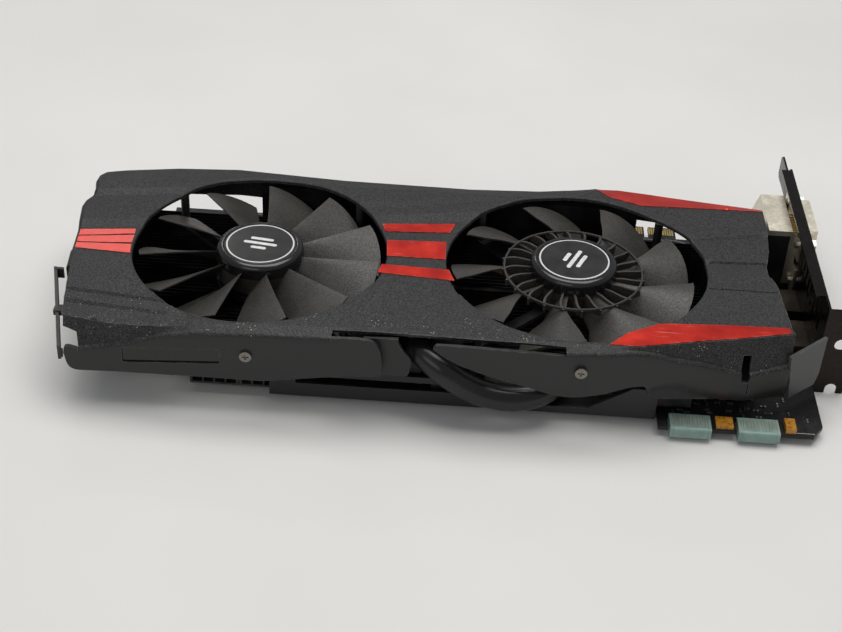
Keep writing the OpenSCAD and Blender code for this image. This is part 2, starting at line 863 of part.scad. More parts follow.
module shroud() in_frame() color("#3a3b3d") {
  difference() {
    shroud_block(0, 0, 10.2);
    shroud_block(sheet_t, sheet_t, -20);
    skirt_window();
    span([-300, -118, -1], [-8, -10, 27]);
    for (x = [fan_far_x, fan_near_x])
      translate([x, fan_y, 0])
        cylinder(r = opening_r, h = 60);
    plate_xz(-130, 20)
      polygon([[-144, 33], [-144, 35.4], [-98, 35.4], [-98, 32]]);
    plate_xz(skirt_y + 3, 4)
      polygon(name_window);
    for (s = shroud_screw_places)
      translate([s[0], skirt_y + 3, s[1]])
        rotate([90, 0, 0])
          cylinder(r = 1.6, h = 6);
  }
}

shroud_screw_places = [[-212.8, 26.2], [-92.8, 28.6]];
name_window = [[-257.6, 19.8], [-222.3, 21.9], [-222.3, 28], [-257.6, 26.2]];

// Edge strip that stands off the far end on three short feet and falls towards the skirt
module end_rib() in_frame() color("#2a2b2d") {
  intersection() {
    linear_extrude(60)
      polygon([[-card_len, -104], [-281, -137], [-279.8, -137], [1.2 - card_len, -104]]);
    plate_yz(-card_len - 1, 30)
      polygon([[-103, 37], [-103, 31.6], [-137, 19.2], [-137, 25]]);
  }
  difference() {
    union() {
      span([0.4 - card_len, -105.2, 32.4], [-284, -104, 36.5]);
      span([-285.2, -123.2, 28.4], [-281, -119.4, 30.6]);
      span([-280.6, -136.6, 19.8], [-277.6, -134.6, 22.4]);
    }
    linear_extrude(60)
      polygon(shroud_outline);
  }
}

module accent_strips() in_frame() color("#c8281c") {
  low = shroud_top;
  high = shroud_top + 0.35;
  translate([0, 0, low])
    linear_extrude(high - low) {
      for (y = [-71.5, -78, -84.6])
        polygon([[-284, y - 2.2], [-264, y - 1.2], [-264, y + 2.2], [-284.6, y + 1.6]]);
      polygon([[-166, -66.4], [-143, -63.4], [-143, -58], [-166, -60.6]]);
      polygon([[-164.6, -85.4], [-144.6, -83], [-144.6, -70], [-164.6, -72]]);
      polygon([[-165.6, -97], [-143, -94], [-143, -88], [-165.6, -90.6]]);
      polygon([[-80, -127.6], [-67, -127.8], [-20, -113.8], [-20, -112.6], [-42, -111.8], [-61, -112.8]]);
    }
  plate_yz(-78, 56)
    polygon([
      [-40, shroud_top + 0.02], [-27, shroud_top - 2.14],
      [-27, shroud_top - 1.8], [-40, shroud_top + 0.36]
    ]);
}

// Plain plate let into the skirt's window
module blank_nameplate() in_frame() color("#2c2d2f")
  plate_xz(skirt_y + 1.7, 1.1)
    polygon(inset(name_window, 0.12));

module shroud_screws() in_frame() color("#9c968a") {
  for (s = shroud_screw_places)
    translate([s[0], skirt_y - 0.9, s[1]])
      rotate([90, 0, 0])
        cross_screw(2.2, 0.9, 1.5, 6);
}

// ---- fans ----

arm_angles = [0, 90, 180, 270];

// Motor base, four arms and the posts that hang it from the shroud
module fan_frame(x) {
  translate([x, fan_y, 0]) {
    difference() {
      union() {
        translate([0, 0, frame_low])
          cylinder(r = 17, h = frame_t);
        for (a = arm_angles)
          rotate([0, 0, a + 45])
            translate([15, -2.2, frame_low])
              cube([post_r - 14, 4.4, frame_t]);
        for (a = arm_angles)
          rotate([0, 0, a + 45])
            translate([post_r, 0, frame_low])
              cylinder(r = 1.7, h = shroud_top - sheet_t - 0.05 - frame_low);
      }
      for (a = arm_angles)
        rotate([0, 0, a + 45])
          translate([post_r, 0, frame_low - 1])
            cylinder(r = 0.9, h = 9);
      translate([0, 0, frame_low - 1])
        cylinder(r = 3, h = frame_t + 2);
    }
  }
}

module fan_frame_far() in_frame() color("#222325") fan_frame(fan_far_x);
module fan_frame_near() in_frame() color("#222325") fan_frame(fan_near_x);

module fan_screws() in_frame() color("#55565a") {
  for (x = [fan_far_x, fan_near_x])
    for (a = arm_angles)
      translate([x, fan_y, 0])
        rotate([0, 0, a + 45])
          translate([post_r, 0, frame_low - 1.1])
            rotate([180, 0, 0])
              cross_screw(1.7, 1, 0.88, 8);
}

// Laminated core with nine pole shoes and their windings
module stator(x) {
  low = frame_low + frame_t + 1.2;
  translate([x, fan_y, 0]) {
    ring(5.4, 3.05, frame_low + frame_t, low + 7.6);
    for (i = [0 : 8])
      rotate([0, 0, i * 40]) {
        span([4.6, -1.1, low + 2], [11.6, 1.1, low + 4.6]);
        span([5.8, -1.9, low + 0.9], [10.4, 1.9, low + 5.7]);
        span([11.2, -3.3, low + 2], [12.6, 3.3, low + 4.6]);
      }
  }
}

module stators() in_frame() color("#a35a2a") {
  stator(fan_far_x);
  stator(fan_near_x);
}

module bearings() in_frame() color("#b08d4c")
  for (x = [fan_far_x, fan_near_x])
    translate([x, fan_y, 0])
      ring(3, 1.54, frame_low, 33.4);

module shaft(x, top)
  translate([x, fan_y, frame_low + 0.6])
    cylinder(r = 1.5, h = top - 0.6 - frame_low - 0.6);

module shaft_far() in_frame() color("#c4c6c8") shaft(fan_far_x, far_hub_top);
module shaft_near() in_frame() color("#c4c6c8") shaft(fan_near_x, near_hub_top);

module magnet(x)
  translate([x, fan_y, 0])
    ring(hub_r - 1.3, 13.4, rotor_low + 0.8, 34);

module magnet_far() in_frame() color("#3c3a3a") magnet(fan_far_x);
module magnet_near() in_frame() color("#3c3a3a") magnet(fan_near_x);

// A swept-back blade as a tilted plate, along +X from the hub
module blade(tip_w, root_w, pitch, z) {
  r_mid = (hub_r + blade_r) / 2;
  translate([0, 0, z])
    rotate([pitch, 0, 0])
      translate([0, 0, -0.7])
        linear_extrude(1.4)
          polygon([
            [hub_r - 1, -root_w / 2], [r_mid, -root_w * 0.62 - 1], [blade_r - 1.6, -tip_w / 2],
            [blade_r - 0.6, -tip_w / 4], [blade_r - 0.2, 0], [blade_r - 0.6, tip_w / 4],
            [blade_r - 2, tip_w / 2], [r_mid, root_w * 0.62 + 1], [hub_r - 1, root_w / 2]
          ]);
}

// Hub cup with a boss for the shaft
module hub_cup(top) {
  difference() {
    union() {
      difference() {
        translate([0, 0, rotor_low])
          cylinder(r = hub_r, h = top - rotor_low);
        translate([0, 0, rotor_low - 1])
          cylinder(r = hub_r - 1.3, h = top - 1.6 - rotor_low + 1);
      }
      translate([0, 0, 33.9])
        cylinder(r = 4, h = top - 1.6 - 33.9 + eps);
    }
    translate([0, 0, 30])
      cylinder(r = 1.5, h = top - 0.6 - 30);
  }
}

module rotor_far() in_frame() color("#46443f")
  translate([fan_far_x, fan_y, 0]) {
    hub_cup(far_hub_top);
    for (i = [0 : far_blades - 1])
      rotate([0, 0, i * 360 / far_blades + 8])
        blade(17, 7, 32, 30);
  }

module rotor_near() in_frame() color("#46443f")
  translate([fan_near_x, fan_y, 0]) {
    hub_cup(near_hub_top);
    ring(26.9, 25.9, 31, 35.6);
    for (i = [0 : ring_blades - 1])
      rotate([0, 0, i * 360 / ring_blades])
        span([hub_r - 0.5, -0.45, 32.6], [26.2, 0.45, 35.6]);
    for (i = [0 : near_blades - 1])
      rotate([0, 0, i * 360 / near_blades + 8])
        blade(20, 8, 30, 30);
  }

module hub_disc(x, top)
  translate([x, fan_y, top])
    cylinder(r = 14, h = 0.4);

module hub_disc_far() in_frame() color("#0f1012") hub_disc(fan_far_x, far_hub_top);
module hub_disc_near() in_frame() color("#0f1012") hub_disc(fan_near_x, near_hub_top);

// Routes of the two fan leads, each in a plane of constant Y
far_lead_points = [
  [-199, -84, 20.6], [-180, -84, 20.6], [-168, -84, 20.8], [-164.2, -84, 24],
  [-163.6, -84, 30], [-161, -84, 34.2], [-156, -84, 34.8], [-151, -84, 33.4],
  [-148.2, -84, 28], [-148, -84, 18], [-148, -84, 11], [-148, -84, 6.9]
];
near_lead_points = [
  [-111, -78, 20.6], [-125, -78, 20.6], [-138, -78, 20.6], [-144.8, -78, 20.8],
  [-147.4, -78, 19.4], [-148, -78, 15], [-148, -78, 6.9]
];
lead_r = 0.8;

module fan_lead_far() in_frame() color("#101113")
  swept_tube(smooth_path(far_lead_points, 3), lead_r, 8, [0, 1, 0]);
module fan_lead_near() in_frame() color("#101113")
  swept_tube(smooth_path(near_lead_points, 3), lead_r, 8, [0, 1, 0]);

circuit_board();
edge_contacts();
link_contacts();
link_cap_a();
link_cap_b();
backplate();
backplate_spacers();
backplate_screws();
stiffener_rail();
gpu_substrate();
gpu_die();
memory_chips();
regulator_chips();
chokes();
regulator_heatsink();
can_capacitors();
edge_blocks();
crystal_and_chips();
power_socket_8();
power_socket_6();
power_pins();
fan_header();
dvi_stack_body();
dvi_shells();
dvi_contacts();
hex_posts();
hdmi_socket();
display_socket();
io_tongues();
bracket();
bracket_screws();
heatsink_base();
wide_heat_pipe();
heat_pipes();
fin_stack_far();
fin_stack_near();
fin_tops_far();
fin_tops_near();
spring_screws();
clamp_springs();
shroud();
end_rib();
accent_strips();
blank_nameplate();
shroud_screws();
fan_frame_far();
fan_frame_near();
fan_screws();
stators();
bearings();
shaft_far();
shaft_near();
magnet_far();
magnet_near();
rotor_far();
rotor_near();
hub_disc_far();
hub_disc_near();
fan_lead_far();
fan_lead_near();
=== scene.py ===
"""Looks of a dual-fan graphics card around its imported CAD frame.

Lengths inside this file are millimetres in card coordinates: X = 0 is the bracket's outer face and
-X runs to the far end, Y = 0 is the tip of the edge connector and -Y runs to the card's top edge,
Z = 0 is the lowest face. place() puts a finished mesh into the row frame, in metres.
"""

import math
import random

import bmesh
import bpy
import numpy as np
from mathutils import Matrix, Vector
from mathutils.geometry import delaunay_2d_cdt
from mathutils.kdtree import KDTree


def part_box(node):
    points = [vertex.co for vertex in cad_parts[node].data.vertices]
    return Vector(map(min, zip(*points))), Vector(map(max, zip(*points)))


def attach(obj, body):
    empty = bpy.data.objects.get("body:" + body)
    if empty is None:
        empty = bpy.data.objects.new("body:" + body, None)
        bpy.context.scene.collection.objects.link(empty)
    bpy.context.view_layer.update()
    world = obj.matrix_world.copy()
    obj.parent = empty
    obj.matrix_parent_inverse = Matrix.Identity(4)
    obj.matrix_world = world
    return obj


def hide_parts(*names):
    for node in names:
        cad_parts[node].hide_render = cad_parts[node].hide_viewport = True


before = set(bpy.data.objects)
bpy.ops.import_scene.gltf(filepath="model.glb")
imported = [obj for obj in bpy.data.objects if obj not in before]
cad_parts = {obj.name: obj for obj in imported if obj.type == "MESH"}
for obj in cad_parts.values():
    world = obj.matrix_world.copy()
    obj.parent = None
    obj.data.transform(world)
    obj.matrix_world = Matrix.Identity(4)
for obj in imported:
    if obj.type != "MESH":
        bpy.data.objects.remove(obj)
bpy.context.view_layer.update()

MM = 0.001
TAB_REACH = 11.43  # how far the bracket's tab reaches past its outer face
TONGUE_TIP = 18.02  # how far the bracket's tongue reaches past the edge connector
_, bracket_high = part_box("bracket")
CARD = Vector((bracket_high.x - TAB_REACH * MM, bracket_high.y - TONGUE_TIP * MM, 0))

TOP = 37.6  # highest plane of the pressed top
SHEET = 1.2  # its thickness
FOLD = 1.6  # radius of the fold where a wall hangs
SKIRT_Y = -137.0
OPENING_R = 48.6
BLADE_R = 46.6
HUB_R = 16.6
LIP_ROWS = [(0.8, 0.0), (0.35, 0.1), (0.08, 0.4), (0.0, 1.5)]  # (past the opening, drop)
BOARD_LOW, BOARD_TOP = 3.0, 4.6

# Distance between mesh points
TOP_STEP, WALL_STEP, LUG_STEP, FOIL_STEP = 2.2, 2.6, 2.4, 2.0
ROW_RATIO = 0.87  # between rows of a triangular grid
LINE_GAP, GRID_GAP = 0.3, 0.6  # least distance from points already laid, in steps


def centre_of(node):
    """Centre of a CAD node's box, in card millimetres."""
    low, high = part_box(node)
    return ((low + high) / 2 - CARD) / MM


FANS = {"far": centre_of("hub_disc_far"), "near": centre_of("hub_disc_near")}
HUB_TOPS = {name: (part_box("hub_disc_" + name)[0].z - CARD.z) / MM for name in FANS}


# ---------------------------------------------------------------- mesh helpers


def place(name, bm, body, material, stands_for=(), smooth=30.0, origin=(0, 0, 0), sheet=False):
    """Turns a bmesh in card millimetres, about origin, into a piece that rides on a CAD body.
    A sheet's faces are turned so that most of them look up."""
    mesh = bpy.data.meshes.new(name)
    bmesh.ops.recalc_face_normals(bm, faces=bm.faces)
    if sheet and sum(face.normal.z * face.calc_area() for face in bm.faces) < 0:
        bmesh.ops.reverse_faces(bm, faces=bm.faces)
    bm.to_mesh(mesh)
    bm.free()
    mesh.transform(Matrix.Scale(MM, 4))
    piece = bpy.data.objects.new(name, mesh)
    bpy.context.scene.collection.objects.link(piece)
    piece.location = CARD + Vector(origin) * MM
    mesh.materials.append(material)
    mesh.shade_smooth()
    mesh.set_sharp_from_angle(angle=math.radians(smooth))
    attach(piece, body)
    if stands_for:
        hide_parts(*stands_for)
    return piece


def thicken(piece, thickness, offset=-1.0):
    """Gives a sheet its thickness, in millimetres; offset -1 puts it behind the surface."""
    solid = piece.modifiers.new("thickness", "SOLIDIFY")
    solid.thickness = thickness * MM
    solid.offset = offset
    solid.use_even_offset = True
    return piece


def round_edges(piece, width, segments=2, angle=40.0):
    """Rounds the sharp edges, so that they catch the light."""
    bevel = piece.modifiers.new("rounded edges", "BEVEL")
    bevel.width = width * MM
    bevel.segments = segments
    bevel.limit_method = "ANGLE"
    bevel.angle_limit = math.radians(angle)
    bevel.harden_normals = True
    bevel.use_clamp_overlap = True
    return piece


def resample(points, step, closed=True):
    """Points along a polyline, at most step apart, with every corner kept."""
    ends = points[1:] + points[:1] if closed else points[1:]
    out = []
    for a, b in zip(points, ends):
        count = max(1, math.ceil(math.dist(a, b) / step))
        out += [tuple(Vector(a).lerp(Vector(b), k / count)) for k in range(count)]
    return out if closed else out + [tuple(points[-1])]


def rounded(corners, steps=5):
    """A closed outline from (x, y, radius) corners, with each corner turned into an arc."""
    out = []
    count = len(corners)
    for i, (x, y, radius) in enumerate(corners):
        p = Vector((x, y))
        a = Vector(corners[i - 1][:2]) - p
        b = Vector(corners[(i + 1) % count][:2]) - p
        cut = min(radius, 0.48 * a.length, 0.48 * b.length)
        if cut <= 0:
            out.append((x, y))
            continue
        start, end = p + a.normalized() * cut, p + b.normalized() * cut
        for k in range(steps + 1):
            t = k / steps
            q = start * (1 - t) ** 2 + p * (2 * t * (1 - t)) + end * t ** 2
            out.append((q.x, q.y))
    return out


# The near opening bulges towards the bracket: (degrees from +X, radius)
NEAR_OPENING = [
    (-38, OPENING_R), (-29, 49.0), (-20, 49.9), (-6, 50.9), (2, 51.5), (12, 52.2), (20, 52.3), (26, 52.0),
    (33, 51.1), (50, OPENING_R),
]


def opening_radius(name, angle):
    """Radius of a fan's opening in the pressed top, at an angle in radians."""
    if name == "far":
        return OPENING_R
    degrees = math.degrees(math.remainder(angle, math.tau))
    return table(NEAR_OPENING, degrees)


def opening(name, extra, count=120):
    """The outline of a fan's opening, widened by extra."""
    fan = FANS[name]
    angles = [math.tau * k / count for k in range(count)]
    radii = [opening_radius(name, a) + extra for a in angles]
    return [(fan.x + r * math.cos(a), fan.y + r * math.sin(a)) for r, a in zip(radii, angles)]


def rounded_box(x0, y0, x1, y1, radius, steps=5):
    return rounded([(x0, y0, radius), (x1, y0, radius), (x1, y1, radius), (x0, y1, radius)], steps)


def circle(x, y, radius, count=72):
    return [
        (x + radius * math.cos(math.tau * k / count), y + radius * math.sin(math.tau * k / count))
        for k in range(count)
    ]


def inside(points, loops):
    """Which points lie inside the loops, by the even-odd rule."""
    px, py = points[:, 0], points[:, 1]
    odd = np.zeros(len(points), bool)
    for loop in loops:
        for (x0, y0), (x1, y1) in zip(loop, loop[1:] + loop[:1]):
            if y0 != y1:
                crosses = (y0 > py) != (y1 > py)
                odd ^= crosses & (px < (x1 - x0) * (py - y0) / (y1 - y0) + x0)
    return odd


def distance_to(points):
    """A function that tells how far a plan point lies from the closest of these points."""
    tree = KDTree(len(points))
    for k, (x, y) in enumerate(points):
        tree.insert((x, y, 0), k)
    tree.balance()
    return lambda p: tree.find((p[0], p[1], 0))[2]


def fill(loops, step, lines=()):
    """Triangles between closed loops, with folds along open lines and inner points step apart.
    Returns the points and the triangles; the loops' own points come first, in order."""
    points, edges = [], []
    for loop in loops:
        first = len(points)
        points += loop
        edges += [(first + k, first + (k + 1) % len(loop)) for k in range(len(loop))]
    rim = len(points)
    off_rim = distance_to(points)
    for line in lines:
        run = resample(list(line), step, closed=False)
        last = None
        for p, ok in zip(run, inside(np.array(run), loops)):
            if ok and off_rim(p) > LINE_GAP * step:
                points.append(p)
                if last is not None:
                    edges.append((last, len(points) - 1))
                last = len(points) - 1
            else:
                last = None
    off_laid = distance_to(points)
    low, high = np.min(loops[0], axis=0), np.max(loops[0], axis=0)
    grid = [
        (low[0] + (i + 0.5 * (j % 2)) * step, low[1] + j * step * ROW_RATIO)
        for j in range(int((high[1] - low[1]) / step / ROW_RATIO) + 1)
        for i in range(int((high[0] - low[0]) / step) + 1)
    ]
    kept = inside(np.array(grid), loops)
    points += [p for p, ok in zip(grid, kept) if ok and off_laid(p) > GRID_GAP * step]
    result = delaunay_2d_cdt([Vector(p) for p in points], edges, [], 0, 1e-5, True)
    plan, triangles, sources = result[0], result[2], result[3]
    centres = np.array([[sum(plan[i][c] for i in t) / 3 for c in (0, 1)] for t in triangles])
    ok = inside(centres, loops)
    order = [-1] * len(plan)
    for k, source in enumerate(sources):
        own = [s for s in source if s < rim]
        if own:
            order[k] = own[0]
    return [(p.x, p.y) for p in plan], [t for t, good in zip(triangles, ok) if good], order


def table(pairs, x):
    """Straight-line interpolation in a list of (x, value) pairs."""
    return float(np.interp(x, [p[0] for p in pairs], [p[1] for p in pairs]))


def share(value, start, end):
    """0 before start, 1 after end, straight in between."""
    return min(max((value - start) / (end - start), 0.0), 1.0)


def prism(bm, outline, low, high, plane="xy"):
    """Adds a closed solid: an outline thickened from low to high along the plane's normal."""
    def point(p, h):
        return {"xy": (p[0], p[1], h), "xz": (p[0], h, p[1]), "yz": (h, p[0], p[1])}[plane]

    bottom = [bm.verts.new(point(p, low)) for p in outline]
    top = [bm.verts.new(point(p, high)) for p in outline]
    bm.faces.new(bottom)
    bm.faces.new(top)
    for i in range(len(outline)):
        j = (i + 1) % len(outline)
        bm.faces.new((bottom[i], bottom[j], top[j], top[i]))


def block(bm, low, high):
    prism(bm, [(low[0], low[1]), (high[0], low[1]), (high[0], high[1]), (low[0], high[1])], low[2], high[2])


def revolve(bm, profile, sides=72):
    """Adds a closed solid of revolution about Z from (radius, z) points."""
    rings = []
    for radius, z in profile:
        if radius == 0:
            rings.append([bm.verts.new((0, 0, z))])
        else:
            turns = [math.tau * k / sides for k in range(sides)]
            rings.append([bm.verts.new((radius * math.cos(a), radius * math.sin(a), z)) for a in turns])
    pairs = list(zip(rings, rings[1:] + rings[:1]))
    for a, b in pairs:
        if len(a) == 1 and len(b) == 1:
            continue
        for k in range(sides):
            n = (k + 1) % sides
            corners = [a[0]] if len(a) == 1 else [a[k], a[n]]
            corners += [b[0]] if len(b) == 1 else [b[n], b[k]]
            bm.faces.new(corners)


# ---------------------------------------------------------------- materials


class Paint:
    """A node material: a Principled shader fed by procedural layers in object coordinates."""

    def __init__(self, name, **constants):
        self.material = bpy.data.materials.new(name)
        self.material.use_nodes = True
        self.tree = self.material.node_tree
        self.shader = self.tree.nodes["Principled BSDF"]
        self.coords = self.add("ShaderNodeTexCoord").outputs["Object"]
        self.height = None
        for key, value in constants.items():
            self.shader.inputs[key.replace("_", " ")].default_value = value

    def plug(self, value, socket):
        if isinstance(value, bpy.types.NodeSocket):
            self.tree.links.new(value, socket)
        else:
            socket.default_value = value

    def add(self, kind, inputs=None, **settings):
        node = self.tree.nodes.new(kind)
        for key, value in settings.items():
            setattr(node, key, value)
        for key, value in (inputs or {}).items():
            self.plug(value, node.inputs[key])
        return node

    def stretch(self, scale):
        """Object coordinates scaled along each axis, for brushed and streaky looks."""
        return self.add("ShaderNodeMapping", {"Vector": self.coords, "Scale": scale}).outputs[0]

    def noise(self, size, detail=3.0, vector=None, rough=0.55):
        """Soft noise whose features are about size millimetres across."""
        inputs = {
            "Vector": vector or self.coords, "Scale": 1 / (size * MM), "Detail": detail, "Roughness": rough,
        }
        return self.add("ShaderNodeTexNoise", inputs).outputs["Fac"]

    def cells(self, size, feature="F1", vector=None):
        inputs = {"Vector": vector or self.coords, "Scale": 1 / (size * MM)}
        node = self.add("ShaderNodeTexVoronoi", inputs, feature=feature)
        return node.outputs["Distance"]

    def spread(self, value, low, high, start=0.0, end=1.0):
        """value mapped from start..end to low..high, and held there."""
        inputs = {"Value": value, "From Min": start, "From Max": end, "To Min": low, "To Max": high}
        return self.add("ShaderNodeMapRange", inputs, clamp=True).outputs[0]

    def math(self, operation, a, b=0.0):
        return self.add("ShaderNodeMath", {0: a, 1: b}, operation=operation).outputs[0]

    def mix(self, factor, a, b):
        """A colour between a and b; each is a socket or an (r, g, b) tuple."""
        a, b = (c if isinstance(c, bpy.types.NodeSocket) else (*c, 1.0) for c in (a, b))
        node = self.add("ShaderNodeMix", data_type="RGBA")
        for value, index in ((factor, 0), (a, 6), (b, 7)):
            self.plug(value, node.inputs[index])
        return node.outputs[2]

    def edges(self, radius, start=0.02, end=0.25):
        """1 close to sharp edges and 0 elsewhere, broken up by noise."""
        soft = self.add("ShaderNodeBevel", {"Radius": radius * MM}, samples=4).outputs[0]
        plain = self.add("ShaderNodeNewGeometry").outputs["Normal"]
        dot = self.add("ShaderNodeVectorMath", {0: soft, 1: plain}, operation="DOT_PRODUCT").outputs["Value"]
        near = self.spread(self.math("SUBTRACT", 1.0, dot), 0.0, 1.0, start, end)
        return self.math("MULTIPLY", near, self.spread(self.noise(3.0, 4.0), 0.0, 1.0, 0.42, 0.62))

    def blend(self, value, a, b, start=0.35, end=0.7, most=1.0):
        """Colour a turning into b while value runs from start to end, and no further than most."""
        return self.mix(self.spread(value, 0.0, most, start, end), a, b)

    def worn(self, shade, radius, amount, bare):
        """shade, with bare showing through along sharp edges."""
        return self.mix(self.math("MULTIPLY", self.edges(radius), amount), shade, bare)

    def gloss(self, value, rough):
        """Roughness between the two in rough, following value."""
        return self.roughness(self.spread(value, *rough, 0.3, 0.7))

    def colour(self, value):
        self.plug(value, self.shader.inputs["Base Color"])
        return self

    def roughness(self, value):
        self.plug(value, self.shader.inputs["Roughness"])
        return self

    def metal(self, value):
        self.plug(value, self.shader.inputs["Metallic"])
        return self

    def bump(self, height, depth, strength=1.0):
        """Adds relief of depth millimetres from a 0..1 height."""
        inputs = {"Height": height, "Distance": depth * MM, "Strength": strength}
        if self.height is not None:
            inputs["Normal"] = self.height
        self.height = self.add("ShaderNodeBump", inputs).outputs[0]
        self.plug(self.height, self.shader.inputs["Normal"])
        return self


def scaled(colour, factor):
    return tuple(min(1.0, c * factor) for c in colour)


def textured_paint(name, colour, rough=(0.48, 0.62), wear=(0.35, 0.34, 0.33)):
    """Powder-coat style paint: coarse grain, faint blotches, dust specks and worn edges.
    The dust has settled mostly along the near edge."""
    p = Paint(name)
    grains = p.noise(0.55, 3.0, rough=0.7)
    p.plug(p.spread(grains, 0.16, 0.44, 0.38, 0.62), p.shader.inputs["Specular IOR Level"])
    fine = p.noise(0.3, 2.0)
    blotch = p.noise(22.0, 4.0)
    shade = p.blend(grains, scaled(colour, 0.4), scaled(colour, 1.6), 0.38, 0.62)
    shade = p.blend(fine, shade, scaled(colour, 2.8), 0.5, 0.66, 0.6)
    shade = p.blend(blotch, shade, scaled(colour, 1.5), most=0.35)
    across = p.add("ShaderNodeSeparateXYZ", {"Vector": p.coords}).outputs["Y"]
    settled = p.spread(across, 1.0, 0.12, -126 * MM, -112 * MM)
    for size, gather, bright in ((1.5, 9.0, 0.42), (0.8, 5.0, 0.3)):
        specks = p.spread(p.cells(size), 1.0, 0.0, 0.08, 0.2)
        where = p.spread(p.noise(gather, 3.0, rough=0.7), 0.0, 1.0, 0.52, 0.62)
        flakes = p.math("MULTIPLY", p.math("MULTIPLY", specks, where), settled)
        shade = p.mix(flakes, shade, (bright, bright * 0.98, bright * 0.93))
    p.colour(p.worn(shade, 0.35, 0.6, wear)).gloss(blotch, rough)
    return p.bump(grains, 0.06).bump(fine, 0.02).material


def smooth_paint(name, colour, rough=(0.34, 0.5), wear=(0.3, 0.29, 0.28), metallic=0.0):
    """Smooth satin paint with a slight orange peel, smears and worn edges."""
    p = Paint(name, Metallic=metallic)
    peel = p.noise(1.6, 2.0)
    smear = p.noise(14.0, 5.0, p.stretch((0.4, 1.0, 1.0)))
    shade = p.blend(smear, scaled(colour, 0.8), scaled(colour, 1.35))
    p.colour(p.worn(shade, 0.3, 0.6, wear)).gloss(smear, rough)
    return p.bump(peel, 0.012).material


def brushed_metal(name, colour, rough=(0.25, 0.42), grain=(1.0, 14.0, 1.0), relief=0.006, tarnish=0.75):
    """Bare metal with drawn grain along one axis, tarnish and brighter edges."""
    p = Paint(name, Metallic=1.0)
    streaks = p.noise(1.4, 4.0, p.stretch(grain))
    stain = p.noise(7.0, 5.0)
    shade = p.blend(streaks, scaled(colour, 0.82), scaled(colour, 1.12), 0.3)
    shade = p.mix(p.spread(stain, 0.5, 0.0, 0.35, 0.6), shade, scaled(colour, tarnish))
    p.colour(p.worn(shade, 0.25, 0.5, scaled(colour, 1.5))).gloss(stain, rough)
    return p.bump(streaks, relief).material


def moulded(name, colour, rough=(0.42, 0.6), grain=0.5, relief=0.02, specks=0.25):
    """Moulded plastic: spark-eroded grain, dust and slight colour variation."""
    p = Paint(name)
    grains = p.noise(grain, 2.0)
    dust = p.noise(9.0, 5.0)
    shade = p.blend(grains, scaled(colour, 0.82), scaled(colour, 1.2), 0.3)
    p.colour(p.blend(dust, shade, (0.30, 0.28, 0.25), 0.45, 0.75, specks)).gloss(dust, rough)
    return p.bump(grains, relief).material


def fan_plastic(name):
    """Dark fibre-filled plastic of the rotors, dusty, with a soft sheen."""
    p = Paint(name)
    grains = p.noise(0.55, 3.0, rough=0.7)
    dust = p.noise(16.0, 5.0)
    p.plug(p.spread(grains, 0.24, 0.46, 0.38, 0.62), p.shader.inputs["Specular IOR Level"])
    shade = p.blend(grains, (0.018, 0.017, 0.0155), (0.056, 0.052, 0.047), 0.3)
    shade = p.blend(dust, shade, (0.075, 0.069, 0.060), 0.4, 0.72, 0.4)
    p.colour(p.worn(shade, 0.4, 0.35, (0.16, 0.15, 0.135))).gloss(dust, (0.36, 0.5))
    return p.bump(grains, 0.03).material


def red_foil(name):
    """Red satin foil with fine scratches, chips along its edges and a soft warm gloss."""
    p = Paint(name, Coat_Weight=0.2, Coat_Roughness=0.12, Metallic=0.65)
    cloud = p.noise(12.0, 4.0)
    shade = p.blend(cloud, (0.50, 0.012, 0.006), (0.74, 0.030, 0.012))
    for turn in (0.5, -0.9, 2.2):
        drawn_out = {"Vector": p.coords, "Rotation": (0, 0, turn), "Scale": (0.12, 3.2, 1)}
        lines = p.add("ShaderNodeMapping", drawn_out)
        scratch = p.spread(p.noise(1.6, 2.0, lines.outputs[0]), 0.0, 1.0, 0.70, 0.74)
        patch = p.spread(p.noise(6.0, 2.0), 0.0, 0.75, 0.48, 0.62)
        shade = p.mix(p.math("MULTIPLY", scratch, patch), shade, (0.85, 0.36, 0.28))
    p.colour(p.worn(shade, 0.3, 0.8, (0.86, 0.42, 0.32))).gloss(cloud, (0.28, 0.42))
    return p.bump(p.noise(0.8, 3.0), 0.01).material


def board_mask(name):
    """Black solder mask over copper: faint traces, pads of slightly different gloss and dust."""
    p = Paint(name, Specular_IOR_Level=0.3)
    traces = p.add(
        "ShaderNodeTexBrick",
        {"Vector": p.coords, "Scale": 1 / MM, "Brick Width": 9.0, "Row Height": 0.85, "Mortar Size": 0.16,
         "Color1": (1, 1, 1, 1), "Color2": (0.8, 0.8, 0.8, 1), "Mortar": (0, 0, 0, 1)},
    ).outputs["Color"]
    vias = p.spread(p.cells(2.6), 1.0, 0.0, 0.08, 0.14)
    shade = p.mix(traces, (0.004, 0.0045, 0.005), (0.008, 0.0085, 0.0095))
    shade = p.mix(p.math("MULTIPLY", vias, 0.4), shade, (0.10, 0.095, 0.08))
    shade = p.blend(p.noise(10.0, 5.0), shade, (0.3, 0.29, 0.27), 0.5, 0.75, 0.05)
    p.colour(shade).gloss(p.noise(5.0, 4.0), (0.34, 0.5))
    return p.bump(traces, 0.02).material


